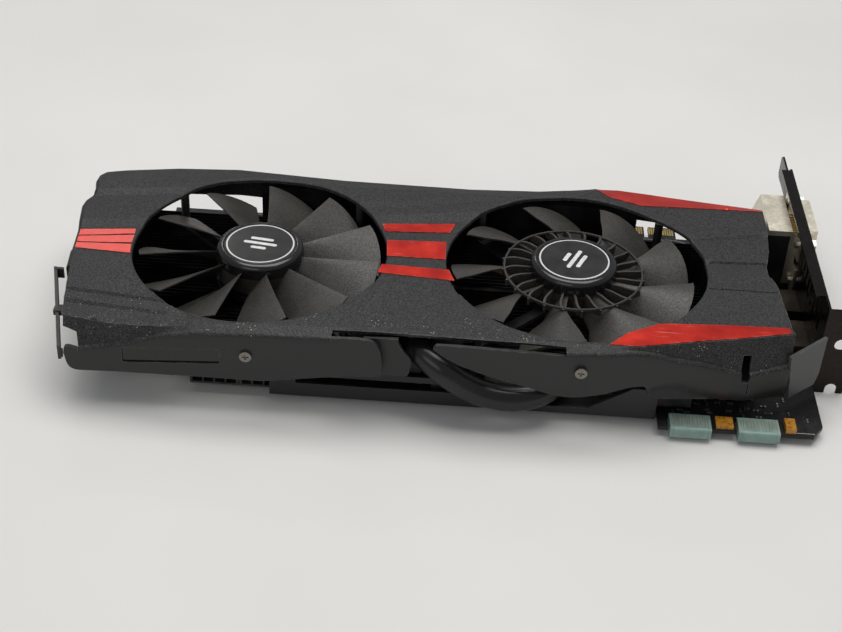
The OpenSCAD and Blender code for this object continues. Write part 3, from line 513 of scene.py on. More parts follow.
def silicone(name, pitch=0.94, start=-135.2, end=-129.6):
    """Soft translucent silicone, blue-green where thick, with the row of contacts showing through."""
    p = Paint(name, Transmission_Weight=0.3, IOR=1.41, Subsurface_Weight=0.35, Subsurface_Scale=0.003)
    p.shader.inputs["Subsurface Radius"].default_value = (0.6, 1.0, 0.9)
    cloud = p.noise(4.0, 4.0)
    shade = p.blend(cloud, (0.27, 0.40, 0.36), (0.38, 0.53, 0.48))
    place_in = p.add("ShaderNodeSeparateXYZ", {"Vector": p.coords})
    turns = p.math("MULTIPLY", place_in.outputs["X"], math.tau / (pitch * MM))
    stripes = p.spread(p.math("SINE", turns), 0.0, 1.0, -0.2, 0.5)
    near = p.spread(place_in.outputs["Y"], 0.0, 1.0, start * MM, (start + 0.8) * MM)
    far = p.spread(place_in.outputs["Y"], 1.0, 0.0, (end - 0.8) * MM, end * MM)
    shown = p.math("MULTIPLY", p.math("MULTIPLY", near, far), p.math("MULTIPLY", stripes, 0.5))
    p.colour(p.mix(shown, shade, (0.30, 0.25, 0.13))).gloss(cloud, (0.28, 0.42))
    return p.bump(p.noise(0.6, 3.0), 0.02).material


def resin(name, dark, light):
    p = Paint(name, Transmission_Weight=0.15, IOR=1.5, Coat_Weight=0.3, Coat_Roughness=0.2)
    cloud = p.noise(1.8, 4.0)
    p.colour(p.blend(cloud, dark, light)).gloss(cloud, (0.2, 0.4))
    return p.bump(p.noise(0.5, 2.0), 0.02).material


def wound_wire(name):
    """Enamelled copper wire laid side by side."""
    p = Paint(name, Metallic=0.9, Coat_Weight=0.6, Coat_Roughness=0.15)
    laid = {"Vector": p.coords, "Scale": 900.0, "Distortion": 0.6}
    wave = p.add("ShaderNodeTexWave", laid, bands_direction="Z")
    turns = wave.outputs["Fac"]
    p.colour(p.mix(turns, (0.30, 0.10, 0.04), (0.72, 0.30, 0.14))).roughness(p.spread(turns, 0.4, 0.22))
    return p.bump(turns, 0.1).material


def fin_metal(name):
    """Black-plated aluminium fins with a faint lengthwise grain and dust on their edges."""
    p = Paint(name, Metallic=0.6)
    streaks = p.noise(2.0, 4.0, p.stretch((0.2, 1.0, 3.0)))
    dust = p.noise(12.0, 5.0)
    shade = p.blend(streaks, (0.006, 0.006, 0.0065), (0.018, 0.018, 0.019), 0.3)
    p.colour(p.blend(dust, shade, (0.12, 0.115, 0.10), 0.5, 0.8, 0.25)).gloss(dust, (0.35, 0.55))
    return p.bump(streaks, 0.01).material


def label_print(name, ring_r):
    """Grey-black label with a white printed ring; the piece's origin is its centre."""
    p = Paint(name, Specular_IOR_Level=0.3, Coat_Weight=0.08, Coat_Roughness=0.2)
    radius = p.add("ShaderNodeVectorMath", {0: p.stretch((1, 1, 0))}, operation="LENGTH").outputs["Value"]
    off = p.math("ABSOLUTE", p.math("SUBTRACT", radius, ring_r * MM))
    ring = p.spread(off, 1.0, 0.0, 0.26 * MM, 0.34 * MM)
    smear = p.noise(9.0, 4.0)
    shade = p.blend(smear, (0.012, 0.012, 0.0125), (0.026, 0.026, 0.027))
    p.colour(p.mix(ring, shade, (0.62, 0.62, 0.61))).gloss(smear, (0.3, 0.42))
    return p.bump(ring, 0.02).bump(p.noise(0.8, 2.0), 0.006).material


def printed_white(name):
    p = Paint(name)
    grain = p.noise(0.8, 4.0)
    p.colour(p.blend(grain, (0.55, 0.55, 0.55), (0.78, 0.78, 0.77))).gloss(grain, (0.35, 0.5))
    return p.bump(grain, 0.01).material


SHROUD = textured_paint("shroud_paint", (0.019, 0.019, 0.0195))
SKIRT = smooth_paint("skirt_paint", (0.011, 0.011, 0.0112), rough=(0.42, 0.55))
# Near-black nameplate: partly the plate's own black, partly painted shade for the recess of the window it
# sits in
NAMEPLATE_SHADE_BLACK = smooth_paint("nameplate_black_painted_shade", (0.003, 0.003, 0.003), rough=(0.12, 0.2), wear=(0.12, 0.12, 0.12))
# Lighter grey copy of the skirt paint for the slanting end wall: painted light, for the light that wall
# catches
END_WALL_LIT_PAINT = smooth_paint("end_wall_painted_light", (0.050, 0.050, 0.050), rough=(0.42, 0.55))
BLACK = smooth_paint("black_sheet", (0.008, 0.008, 0.009), rough=(0.4, 0.55), wear=(0.14, 0.14, 0.135))
RED = red_foil("red_foil")
FIN = fin_metal("fin_black")
ROTOR = fan_plastic("fan_plastic")
HUB_BLACK = smooth_paint("hub_black", (0.010, 0.010, 0.011), rough=(0.14, 0.24), wear=(0.10, 0.10, 0.10))
NYLON = moulded("black_nylon", (0.008, 0.008, 0.009), grain=0.3, specks=0.1)
CHIP = moulded("chip_epoxy", (0.024, 0.024, 0.026), grain=0.2, relief=0.01, specks=0.15)
NICKEL = brushed_metal("nickel", (0.52, 0.50, 0.46))
SCREW = brushed_metal("screw_nickel", (0.24, 0.225, 0.20), rough=(0.34, 0.5), grain=(3, 3, 3))
CHAMPAGNE = brushed_metal(
    "champagne_nickel", (0.88, 0.82, 0.69), rough=(0.42, 0.55), grain=(1, 1, 10), relief=0.012
)
SHELL = brushed_metal("shell_nickel", (0.10, 0.088, 0.072), rough=(0.3, 0.45), grain=(1, 1, 10))
GOLD = brushed_metal("gold_plate", (0.83, 0.60, 0.24), rough=(0.22, 0.36), grain=(4, 4, 4))
COPPER = brushed_metal("copper", (0.72, 0.36, 0.20), rough=(0.28, 0.45), tarnish=0.5)
BRASS = brushed_metal("brass", (0.70, 0.53, 0.26), grain=(3, 3, 3))
BRONZE = brushed_metal("bronze", (0.50, 0.34, 0.16), rough=(0.45, 0.6), grain=(3, 3, 3))
STEEL = brushed_metal("ground_steel", (0.60, 0.61, 0.62), rough=(0.18, 0.3), grain=(1, 1, 8))
DARK_NICKEL = brushed_metal(
    "black_nickel", (0.030, 0.026, 0.023), rough=(0.2, 0.34), grain=(1, 3, 1), relief=0.01
)
PIPE = smooth_paint(
    "pipe_black", (0.012, 0.012, 0.012), rough=(0.2, 0.3), wear=(0.4, 0.38, 0.36), metallic=0.3
)
SILICON = brushed_metal("silicon", (0.36, 0.37, 0.40), rough=(0.1, 0.16), grain=(1, 1, 1), relief=0.001)

NODES_BY_LOOK = [
    (board_mask("board_mask"), "circuit_board"),
    (GOLD, "edge_contacts link_contacts power_pins dvi_contacts"),
    (BLACK, "backplate stiffener_rail"),
    (BRASS, "backplate_spacers"),
    (SCREW, "backplate_screws bracket_screws spring_screws shroud_screws fan_screws"),
    (moulded("substrate", (0.05, 0.12, 0.05), grain=0.3), "gpu_substrate"),
    (SILICON, "gpu_die"),
    (CHIP, "memory_chips regulator_chips crystal_and_chips"),
    (moulded("pressed_powder", (0.06, 0.06, 0.064), grain=0.25, relief=0.05), "chokes"),
    (FIN, "regulator_heatsink fin_stack_far fin_stack_near fin_tops_far fin_tops_near"),
    (NICKEL, "can_capacitors hex_posts"),
    (resin("amber_resin", (0.36, 0.14, 0.012), (0.58, 0.28, 0.03)), "edge_blocks"),
    (NYLON, "power_socket_8 power_socket_6 io_tongues dvi_stack_body end_rib fan_frame_far fan_frame_near"),
    (moulded("natural_nylon", (0.62, 0.60, 0.54), grain=0.3), "fan_header"),
    (CHAMPAGNE, "dvi_shells"),
    (SHELL, "hdmi_socket display_socket"),
    (DARK_NICKEL, "bracket"),
    (COPPER, "heatsink_base"),
    (PIPE, "heat_pipes"),
    (STEEL, "clamp_springs shaft_far shaft_near"),
    (NAMEPLATE_SHADE_BLACK, "blank_nameplate"),
    (wound_wire("winding"), "stators"),
    (BRONZE, "bearings"),
    (moulded("ferrite", (0.035, 0.035, 0.037), grain=0.4), "magnet_far magnet_near"),
    (moulded("sleeve", (0.012, 0.012, 0.013), grain=0.3), "fan_lead_far fan_lead_near"),
]

NODES_BY_BEVEL = [
    (0.1, "crystal_and_chips gpu_substrate"),
    (0.12, "circuit_board dvi_shells fan_screws backplate_screws memory_chips hdmi_socket display_socket"),
    (0.14, "shroud_screws bracket_screws spring_screws"),
    (0.15, "io_tongues"),
    (0.18, "bracket"),
    (0.2, "backplate blank_nameplate hex_posts"),
    (0.25, "stiffener_rail power_socket_8 power_socket_6"),
    (0.3, "end_rib edge_blocks heatsink_base can_capacitors fan_frame_far fan_frame_near"),
    (0.35, "chokes"),
    (0.4, "dvi_stack_body"),
]


def dress_cad_nodes():
    """Gives every shown CAD node its material and rounds its edges."""
    for look, nodes in NODES_BY_LOOK:
        for node in nodes.split():
            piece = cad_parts[node]
            piece.data.materials.clear()
            piece.data.materials.append(look)
    for width, nodes in NODES_BY_BEVEL:
        for node in nodes.split():
            round_edges(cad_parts[node], width)


# ---------------------------------------------------------------- shroud

FAR_FACET_INNER = [
    (-290, -44), (-250, -38), (-187, -36), (-107, -35), (-92, -32), (-84, -26.5), (-79.3, -31), (-74, -33.2),
    (-66, -36.4), (-41, -35.8), (-16, -35.4),
]
FAR_EDGE = [
    (-290, -36), (-286, -32.2), (-277, -30), (-256, -26), (-231, -24), (-187, -27.6), (-135, -28.4),
    (-107, -26.4), (-84, -23.2), (-74.7, -22.4), (-65, -23.6), (-52.5, -25.6), (-21.5, -30.6), (-16, -31.8),
]
FAR_DROP = [(-290, 2.2), (-107, 2.0), (-84, 1.3), (-52, 1.5), (-16, 1.2)]
NEAR_FACET_INNER = [
    (-290, -128.3), (-280, -130.6), (-262, -134.1), (-252, -134.6), (-243, -134.2), (-228, -132),
    (-183, -131.2), (-173, -131.3), (-164.5, -131.5), (-143.7, -132.1), (-120, -132.4), (-98, -131.6),
    (-85, -131.6), (-73.7, -131.9), (-66, -130.2), (-54.5, -127.3), (-34.6, -122.8), (-16, -118.1),
]
NEAR_EDGE = [
    (-290, -137), (-98, -137), (-83, -136), (-68, -133), (-46, -129), (-30, -126.5), (-14.5, -121.5),
]
NEAR_DROP = [
    (-290, 11.4), (-273.6, 10.0), (-265, 8.4), (-257, 6.6), (-250, 4.4), (-245, 2.8), (-240, 1.4),
    (-229, 1.1), (-183, 0.8), (-150, 0.8), (-98, 1.3), (-85, 0.9), (-77, 1.0), (-73.6, 1.2), (-68, 2.4),
    (-59, 5.6), (-48.3, 8.4), (-40, 11.2), (-32.3, 13.6), (-27, 13.8), (-21, 13.4), (-14.5, 12.6),
]


def shifted(line, dy):
    return [(x, y + dy) for x, y in line]


CHANNEL_FAR = [(-290, -70.4), (-263, -67.4), (-172, -55.5), (-133, -48), (-48, -58.4), (-16, -50.6)]
CHANNEL_FAR_LOW = [(-290, -75), (-263, -72), (-170, -60), (-135, -54), (-48, -59.8), (-16, -52)]
CHANNEL_NEAR = [(-290, -90), (-263, -92.5), (-170, -101.3), (-136, -105.3), (-46, -91.8), (-16, -91.8)]
TERRACE_FAR = [
    (-290, -50.4), (-253, -44.3), (-240, -43), (-183, -47), (-167.5, -45.2), (-129.5, -36.4), (-110, -34),
]
TERRACE_NEAR = [(-290, -114.2), (-247, -119.9), (-232, -123)]
TERRACE_NEAREST = [(-290, -120.4), (-239.4, -126.8), (-200, -131)]
RIB_RIGHT = [(-60, -72.8), (-16, -70.4)]
RIB_RIGHT_LOW = [(-60, -82), (-16, -79.8)]
RIB_NEAR = [(-60, -90.2), (-16, -90.2)]

# Each step: its high line, its low line, and its depth along X; a negative depth rises
STEPS = [
    (CHANNEL_FAR, CHANNEL_FAR_LOW, [(-290, 1.3), (-16, 1.0)]),
    (CHANNEL_NEAR, shifted(CHANNEL_NEAR, -0.9), [(-290, -1.3), (-16, -1.0)]),
    (TERRACE_FAR, shifted(TERRACE_FAR, -3.6),
     [(-290, 1.3), (-230, 0.9), (-183, 0.5), (-120, 0.3), (-112, 0)]),
    (TERRACE_NEAR, shifted(TERRACE_NEAR, -1.1), [(-290, 0.9), (-236, 0.8), (-232, 0)]),
    (TERRACE_NEAREST, shifted(TERRACE_NEAREST, -1.3), [(-290, 1.0), (-238, 0.8), (-204, 0)]),
    (RIB_RIGHT, shifted(RIB_RIGHT, -0.8), [(-60, 0), (-50, 0.9), (-16, 0.9)]),
    (RIB_NEAR, shifted(RIB_NEAR, -0.5), [(-60, 0), (-50, 0.6), (-16, 0.6)]),
    (shifted(RIB_NEAR, -0.6), shifted(RIB_NEAR, -1.1), [(-60, 0), (-50, -0.6), (-16, -0.6)]),
    (RIB_RIGHT_LOW, shifted(RIB_RIGHT_LOW, -0.8), [(-60, 0), (-50, -0.9), (-16, -0.9)]),
]


def top_height(x, y):
    """Height of the shroud's pressed top sheet over a plan point."""
    z = TOP
    z -= table(FAR_DROP, x) * share(y, table(FAR_FACET_INNER, x), table(FAR_EDGE, x))
    z -= table(NEAR_DROP, x) * share(y, table(NEAR_FACET_INNER, x), table(NEAR_EDGE, x) + FOLD)
    for high, low, depth in STEPS:
        z -= table(depth, x) * share(y, table(high, x), table(low, x))
    return z


def fold_lines():
    """The plan lines along which the top sheet is creased."""
    lines = [FAR_FACET_INNER]
    for high, low, _ in STEPS:
        lines += [high, low]
    return lines


# Plan line along which the near facet ends, with what hangs from the edge after each point
NEAR_RIM = [
    (-279.3, -132.4, None), (-274.2, -133.6, None), (-273.6, -135.4, "left_skirt"), (-182.3, -135.4, None),
    (-182.0, -132.4, None), (-164.5, -132.1, None), (-143.7, -132.6, None), (-120, -133.0, None),
    (-98.8, -133.5, None),
    *((x, y, "right_skirt") for x, y in [
        (-98.6, -135.4), (-83.2, -134.4), (-68.3, -131.4), (-46.3, -127.4), (-33.9, -125.45),
        (-30.7, -124.95),
    ]), (-15.4, -120.0, None),
]
# The rest of the top sheet's edge, anticlockwise
TOP_EDGE = [
    (-16.2, -114.8, None), (-16.4, -109.6, None), (-17.4, -95.1, None),
    (-17.2, -88, None), (-19.7, -78, None), (-19.8, -73.8, None), (-17.7, -62.3, None), (-16.6, -49.4, None),
    *((x, y, "flange") for x, y in [
        (-16.6, -33.6), (-21.5, -32.2), (-52.5, -27.2), (-65, -25.2), (-74.7, -24), (-84, -24.8), (-107, -28),
        (-135, -30), (-187, -29.2), (-231, -25.6), (-256, -27.6), (-277, -31.6), (-284.2, -34), (-285.6, -37),
        (-285.4, -43), (-284.4, -48), (-284.5, -52), (-286.8, -56.4), (-287.3, -60), (-285.4, -75),
        (-284.6, -88),
    ]), (-283.4, -102, None), (-280.2, -129.4, None),
]
FACET_ROWS = (0.25, 0.5, 0.75, 1.0)  # shares of the way from the crease to the edge
FLANGE_LOW = 23.5  # height at which the flanges end
ARC_STEPS = 4  # rows in a fold's quarter circle


def run_of(corners, step=2.0):
    """Points along (x, y, kind) corners, each with the kind of its own stretch."""
    points, kinds = [], []
    for (x0, y0, kind), (x1, y1, _) in zip(corners, corners[1:]):
        run = resample([(x0, y0), (x1, y1)], step, closed=False)[:-1]
        points += run
        kinds += [kind] * len(run)
    return points + [corners[-1][:2]], kinds + [corners[-1][2]]


def top_sheet(bm):
    """The pressed top with its two openings; returns the fold's last row for each hanging part."""
    outer, near_kinds = run_of(NEAR_RIM)
    crease = [(x, table(NEAR_FACET_INNER, x)) for x, _ in outer]
    edge, edge_kinds = run_of(TOP_EDGE)
    loop = crease + edge
    rings = [opening(name, LIP_ROWS[0][0]) for name in FANS]
    plan, triangles, order = fill([loop, *rings], TOP_STEP, fold_lines())
    verts = [bm.verts.new((x, y, top_height(x, y))) for x, y in plan]
    for t in triangles:
        bm.faces.new([verts[i] for i in t])
    rim = {source: verts[k] for k, source in enumerate(order) if source >= 0}
    facet = near_facet(bm, outer, crease, [rim[k] for k in range(len(crease))])
    fold_rows = hang_folds(bm, outer, near_kinds, facet)
    fold_rows |= hang_folds(bm, edge, edge_kinds, [rim[len(crease) + k] for k in range(len(edge))])
    first = len(loop)
    for name, ring in zip(FANS, rings):
        roll_lip(bm, name, [rim[first + k] for k in range(len(ring))])
        first += len(ring)
    return fold_rows


def near_facet(bm, outer, crease, row):
    """Ruled rows from the near crease down to the edge; returns the last row."""
    for part in FACET_ROWS:
        below = []
        for (x, y0), (_, y1) in zip(crease, outer):
            y = y0 + (y1 - y0) * part
            below.append(bm.verts.new((x, y, top_height(x, y))))
        stitch(bm, row, below)
        row = below
    return row


def roll_lip(bm, name, row):
    """Rolls the sheet down round a fan's opening."""
    fan = FANS[name]
    for extra, drop in LIP_ROWS[1:]:
        below = []
        for v in row:
            out = Vector((v.co.x - fan.x, v.co.y - fan.y)).normalized()
            out *= opening_radius(name, math.atan2(out.y, out.x)) + extra
            z = top_height(fan.x + out.x * 1.02, fan.y + out.y * 1.02) - drop
            below.append(bm.verts.new((fan.x + out.x, fan.y + out.y, z)))
        stitch(bm, row, below, closed=True)
        row = below


def stitch(bm, above, below, closed=False):
    count = len(above) if closed else len(above) - 1
    for i in range(count):
        j = (i + 1) % len(above)
        bm.faces.new((above[i], above[j], below[j], below[i]))


def hang_folds(bm, points, kinds, verts):
    """Rounds the edge over wherever a wall hangs; returns each wall's first row of vertices."""
    rows = {}
    start = 0
    while start < len(points) - 1:
        kind = kinds[start]
        end = start + 1
        while end < len(points) - 1 and kinds[end] == kind:
            end += 1
        if kind:
            rows[kind] = fold_over(bm, points[start:end + 1], verts[start:end + 1], kind)
        start = end
    return rows


def fold_over(bm, points, row, kind):
    """Bends one stretch of edge downwards through a quarter circle; a flange gets its short wall."""
    normals = []
    for n in range(len(points)):
        along = Vector(points[min(n + 1, len(points) - 1)]) - Vector(points[max(n - 1, 0)])
        normals.append(Vector((along.y, -along.x)).normalized())
    bases = [v.co.copy() for v in row]
    for step in range(1, ARC_STEPS + 1):
        a = math.pi / 2 * step / ARC_STEPS
        out, down = FOLD * math.sin(a), FOLD * (1 - math.cos(a))
        below = [
            bm.verts.new((base.x + normal.x * out, base.y + normal.y * out, base.z - down))
            for base, normal in zip(bases, normals)
        ]
        stitch(bm, row, below)
        row = below
    if kind == "flange":
        below = [bm.verts.new((v.co.x, v.co.y, min(FLANGE_LOW, v.co.z - 1.5))) for v in row]
        stitch(bm, row, below)
    return row


# The small notch in the right skirt: its sides, how far it reaches into the top, and its lower end
NOTCH_X = (-33.9, -30.7)
NOTCH_FAR = -123.9
NOTCH_LOW = 21.0
SLIT = [(-30.95, 15.6), (-30.55, 15.6), (-30.55, 20.6), (-30.95, 20.6)]


def notch_sides(high):
    """Lines along the notch's two sides and its closed end, in the skirt's plane."""
    left, right = NOTCH_X
    sides = [[(x, NOTCH_LOW), (x, high)] for x in NOTCH_X]
    return sides + [[(left, NOTCH_LOW), (right, NOTCH_LOW)]]


LEFT_SKIRT = rounded([
    (-182.3, 36.6, 0), (-172, 36.9, 3.4), (-166.6, 36.2, 3.4), (-164.2, 31, 4), (-163.7, 20.8, 1.2),
    (-186, 18.6, 8), (-206, 15.0, 6), (-232, 15.2, 6), (-259, 15.1, 6), (-277.6, 14.6, 4.6),
    (-278.9, 22.6, 2), (-278.3, 25.4, 1.0), (-276.2, 25.4, 1.2), (-273.8, 24.6, 0.3),
])
RIGHT_SKIRT = rounded([
    (-14.5, 10.4, 0.5), (-30, 11.3, 4), (-40, 12.2, 4), (-62, 13.6, 3), (-66.5, 15.2, 1.5),
    (-68.8, 21.3, 1.2), (-74, 21.2, 2), (-84, 18.6, 5), (-92, 16.7, 5), (-101, 17.1, 5),
    (-110.5, 20.0, 6), (-124.5, 23.6, 6), (-138.5, 28.9, 6),
    (-146.2, 34.6, 1.6), (-145.0, 36.4, 0.8), (-139, 36.5, 3), (-99.2, 35.4, 0),
])
WINDOW = rounded([(-257.6, 19.8, 0.6), (-222.3, 21.9, 0.6), (-222.3, 28, 0.6), (-257.6, 26.2, 0.6)], 3)
SCREW_HOLE_R = 1.9
LOWER_CREASE = [
    (-146, 0), (-69, 21), (-64, 22), (-56.5, 22.4), (-48, 18.5), (-39, 15.8), (-30, 14.8), (-22, 15.2),
    (-14.5, 15.6),
]
TUCK = [(-146, 0), (-70, 0), (-64, 1.6), (-14.5, 1.8)]  # depth of the tuck along X
TUCK_RUN = 4.0  # height over which the wall tucks in
LUG_Y = -133.9  # plane of the lug between the skirts
# Corners of the slanting end wall, anticlockwise from its lowest corner by the skirt
END_WALL = [
    (-13.6, -120.8, 10.4), (-2.6, -110.8, 9.8), (-1.2, -109.5, 14), (-1.0, -109.4, 30.8),
    (-16.2, -122.4, 30.2),
]


def left_skirt_y(x, z):
    """The left skirt is flat; it is asked the same way as the right one."""
    return SKIRT_Y


def right_skirt_y(x, z):
    """The right skirt follows the shroud's edge, and tucks in below its lower crease."""
    below = max(table(LOWER_CREASE, x) - z, 0.0)
    return table(NEAR_EDGE, x) + table(TUCK, x) * min(below / TUCK_RUN, 1.0)


def skirt(bm, row, outline, holes, depth, lines=()):
    """A hanging wall: filled in its own XZ plane, with its top edge on the fold's last row."""
    top = [(v.co.x, v.co.z) for v in row]
    loop = top + outline
    plan, triangles, order = fill([loop, *holes], WALL_STEP, lines)
    verts = []
    for (x, z), source in zip(plan, order):
        on_fold = 0 <= source < len(row)
        verts.append(row[source] if on_fold else bm.verts.new((x, depth(x, z), z)))
    for t in triangles:
        corners = [verts[i] for i in t]
        if len(set(corners)) == 3:
            bm.faces.new(corners)


def chamfer_wall(bm):
    """The slanting end wall between the right skirt and the bracket."""
    bm.faces.new([bm.verts.new(p) for p in END_WALL])


def lug(bm):
    """The pressed lug that shows in the gap between the skirts, in front of the wide pipe's upper bend."""
    outline = rounded([
        (-171, 35.2, 0.5), (-171, 19, 0.5), (-154.6, 19, 1.5), (-153.2, 26.6, 2.5), (-156.6, 30.4, 2.5),
        (-158.4, 34, 1), (-158.4, 35.6, 0.3),
    ])
    plan, triangles, _ = fill([outline], LUG_STEP)
    verts = [bm.verts.new((x, LUG_Y, z)) for x, z in plan]
    for t in triangles:
        bm.faces.new([verts[i] for i in t])


def build_shroud():
    bm = bmesh.new()
    rows = top_sheet(bm)
    left_hole, right_hole = centre_of_screws()
    skirt(bm, rows["left_skirt"], LEFT_SKIRT, [WINDOW, circle(*left_hole, SCREW_HOLE_R, 20)], left_skirt_y)
    crease = [(x, z) for x, z in LOWER_CREASE if x > -69.5]
    skirt(
        bm, list(reversed(rows["right_skirt"])), list(reversed(RIGHT_SKIRT)),
        [circle(*right_hole, SCREW_HOLE_R, 20), SLIT], right_skirt_y, [crease, *notch_sides(40)],
    )
    chamfer_wall(bm)
    lug(bm)
    cut_notch(bm)
    piece = place("shroud_pressed", bm, "card", SHROUD, ["shroud"], sheet=True)
    sharpen_creases(piece.data)
    paint_skirts(piece)
    thicken(piece, SHEET)
    return round_edges(piece, 0.18, 2, 60)


def centre_of_screws():
    """The two skirt screws' centres in the XZ plane, left and right."""
    co = np.array([v.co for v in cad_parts["shroud_screws"].data.vertices])
    card = (co - np.array(CARD)) / MM
    left = card[:, 0] < card[:, 0].mean()
    centres = [(card[side].min(0) + card[side].max(0)) / 2 for side in (left, ~left)]
    return [(float(c[0]), float(c[2])) for c in centres]


def cut_notch(bm):
    """Removes the faces inside the small notch; their edges were laid along its sides."""
    gone = []
    for face in bm.faces:
        c = face.calc_center_median()
        if NOTCH_X[0] < c.x < NOTCH_X[1] and c.y < NOTCH_FAR and c.z > NOTCH_LOW:
            gone.append(face)
    bmesh.ops.delete(bm, geom=gone, context="FACES")


def sharpen_creases(mesh):
    """Keeps the top sheet's shallow creases crisp while the folds stay smooth."""
    bm = bmesh.new()
    bm.from_mesh(mesh)
    for edge in bm.edges:
        if len(edge.link_faces) == 2:
            flat = min(abs(face.normal.z) for face in edge.link_faces) > 0.9
            edge.smooth = edge.calc_face_angle() < math.radians(4.5 if flat else 32)
    bm.to_mesh(mesh)
    bm.free()


def paint_skirts(piece):
    """The hanging walls have a smoother, darker paint than the top. The end wall gets a lighter grey paint
    that is painted light, for the light its slanting face catches.
    The end wall is the only face with that many corners."""
    piece.data.materials.append(SKIRT)
    piece.data.materials.append(END_WALL_LIT_PAINT)
    for face in piece.data.polygons:
        centre = face.center / MM
        upright = abs(face.normal.z) < 0.45
        depth = centre.y - table(NEAR_EDGE, centre.x)
        near_wall = depth < 0.9 or (depth < 2.2 and centre.z < table(LOWER_CREASE, centre.x) + 0.5)
        on_lug = abs(centre.y - LUG_Y) < 0.01
        end_wall = len(face.vertices) == len(END_WALL)
        # The end wall gets the lighter paint, which is painted light
        if upright and end_wall:
            face.material_index = 2
        elif upright and centre.y < -105 and (near_wall or on_lug):
            face.material_index = 1


# ---------------------------------------------------------------- red strips

FOIL, FOIL_SUNK = 0.3, 0.05  # how far the foil stands out of the sheet and reaches into it
STRIPS = {
    "strip_end_a": [(-285.6, -76.0), (-264.5, -73.6), (-264.3, -76.9), (-285.4, -80.1)],
    "strip_end_b": [(-285.3, -80.8), (-264.2, -77.9), (-264.2, -83.2), (-285.1, -84.6)],
    "strip_end_c": [(-285.1, -85.2), (-264.1, -84.3), (-263.4, -90.2), (-284.9, -88.6)],
    "strip_mid_a": [(-169.5, -60.0), (-140.7, -56.9), (-142.6, -63.4), (-167.8, -65.2)],
    "strip_mid_b": [(-166.8, -71.3), (-143.8, -70.2), (-143.7, -82.3), (-166.2, -82.0)],
    "strip_mid_c": [(-167.7, -88.0), (-142.1, -89.2), (-139.8, -96.1), (-168.8, -93.6)],
    "wedge_near": [(-83.3, -131.4), (-76.8, -124.2), (-65, -117.3), (-60.8, -116.7), (-37.8, -115.2),
                   (-17.2, -114.8), (-16.8, -117.8), (-34.6, -122.4), (-54.5, -126.9), (-66, -129.8),
                   (-73.7, -131.5)],
    "wedge_far": [(-84.0, -24.9), (-74.7, -24.2), (-65.5, -25.3), (-52.5, -27.3), (-21.5, -32.3),
                  (-17, -33.2), (-17, -35.3), (-41, -35.9), (-66.4, -36.5), (-74.2, -33.3), (-79.4, -31.2)],
}


def build_strips():
    """Red foil that follows the pressed top, one closed solid for each strip."""
    bm = bmesh.new()
    for outline in STRIPS.values():
        loop = resample(outline, 1.6)
        plan, triangles, order = fill([loop], FOIL_STEP, [*fold_lines(), NEAR_FACET_INNER])
        upper = [bm.verts.new((x, y, top_height(x, y) + FOIL)) for x, y in plan]
        lower = [bm.verts.new((x, y, top_height(x, y) - FOIL_SUNK)) for x, y in plan]
        for t in triangles:
            bm.faces.new([upper[i] for i in t])
            bm.faces.new([lower[i] for i in reversed(t)])
        rim = {source: k for k, source in enumerate(order) if source >= 0}
        for i in range(len(loop)):
            a, b = rim[i], rim[(i + 1) % len(loop)]
            bm.faces.new((upper[a], lower[a], lower[b], upper[b]))
    piece = place("red_strips", bm, "card", RED, ["accent_strips"])
    return round_edges(piece, 0.12, 2, 50)


# ---------------------------------------------------------------- fans


SPANS, CHORDS = 14, 12  # mesh cells along a blade and across it
TIP_ROUND = 0.9  # how far a tip's corners fall back


def blade(bm, start, spec):
    """One twisted, cambered blade as a closed solid; its anticlockwise edge is the high one."""
    spans, chords = SPANS, CHORDS
    grids = []
    for side in (0, 1):
        rows = []
        for i in range(spans + 1):
            u = i / spans
            r = spec["root_r"] + (BLADE_R - spec["root_r"]) * u
            width = table(spec["width"], u)
            rise = table(spec["rise"], u)
            sweep = table(spec["sweep"], u)
            row = []
            for j in range(chords + 1):
                v = j / chords
                arc = 1 - (1 - v) ** spec["camber"]
                tip = r - (TIP_ROUND * (2 * v - 1) ** 2 if i == spans else 0)
                angle = start + sweep + (v - 0.5) * width / r
                thin = spec["thick"] * (0.35 + 0.65 * math.sin(math.pi * min(max(v, 0.06), 0.94)))
                z = spec["z"] + (arc - 0.5) * rise - side * thin
                row.append(bm.verts.new((tip * math.cos(angle), tip * math.sin(angle), z)))
            rows.append(row)
        grids.append(rows)
    upper, lower = grids
    for i in range(spans):
        for j in range(chords):
            bm.faces.new((upper[i][j], upper[i + 1][j], upper[i + 1][j + 1], upper[i][j + 1]))
            bm.faces.new((lower[i][j], lower[i][j + 1], lower[i + 1][j + 1], lower[i + 1][j]))
    rim = [(i, 0) for i in range(spans)] + [(spans, j) for j in range(chords)]
    rim += [(i, chords) for i in range(spans, 0, -1)] + [(0, j) for j in range(chords, 0, -1)]
    for (a, b), (c, d) in zip(rim, rim[1:] + rim[:1]):
        bm.faces.new((upper[a][b], lower[a][b], lower[c][d], upper[c][d]))


CUP_LOW = 25.0


def hub_cup(bm, top):
    """The hub's cup, open below, that carries the blades under the hub's cap."""
    revolve(bm, [
        (0, top - 1.7), (HUB_R - 0.25, top - 1.7), (HUB_R - 0.25, CUP_LOW), (HUB_R - 1.25, CUP_LOW),
        (HUB_R - 1.25, top - 2.6), (0, top - 2.6),
    ], 96)


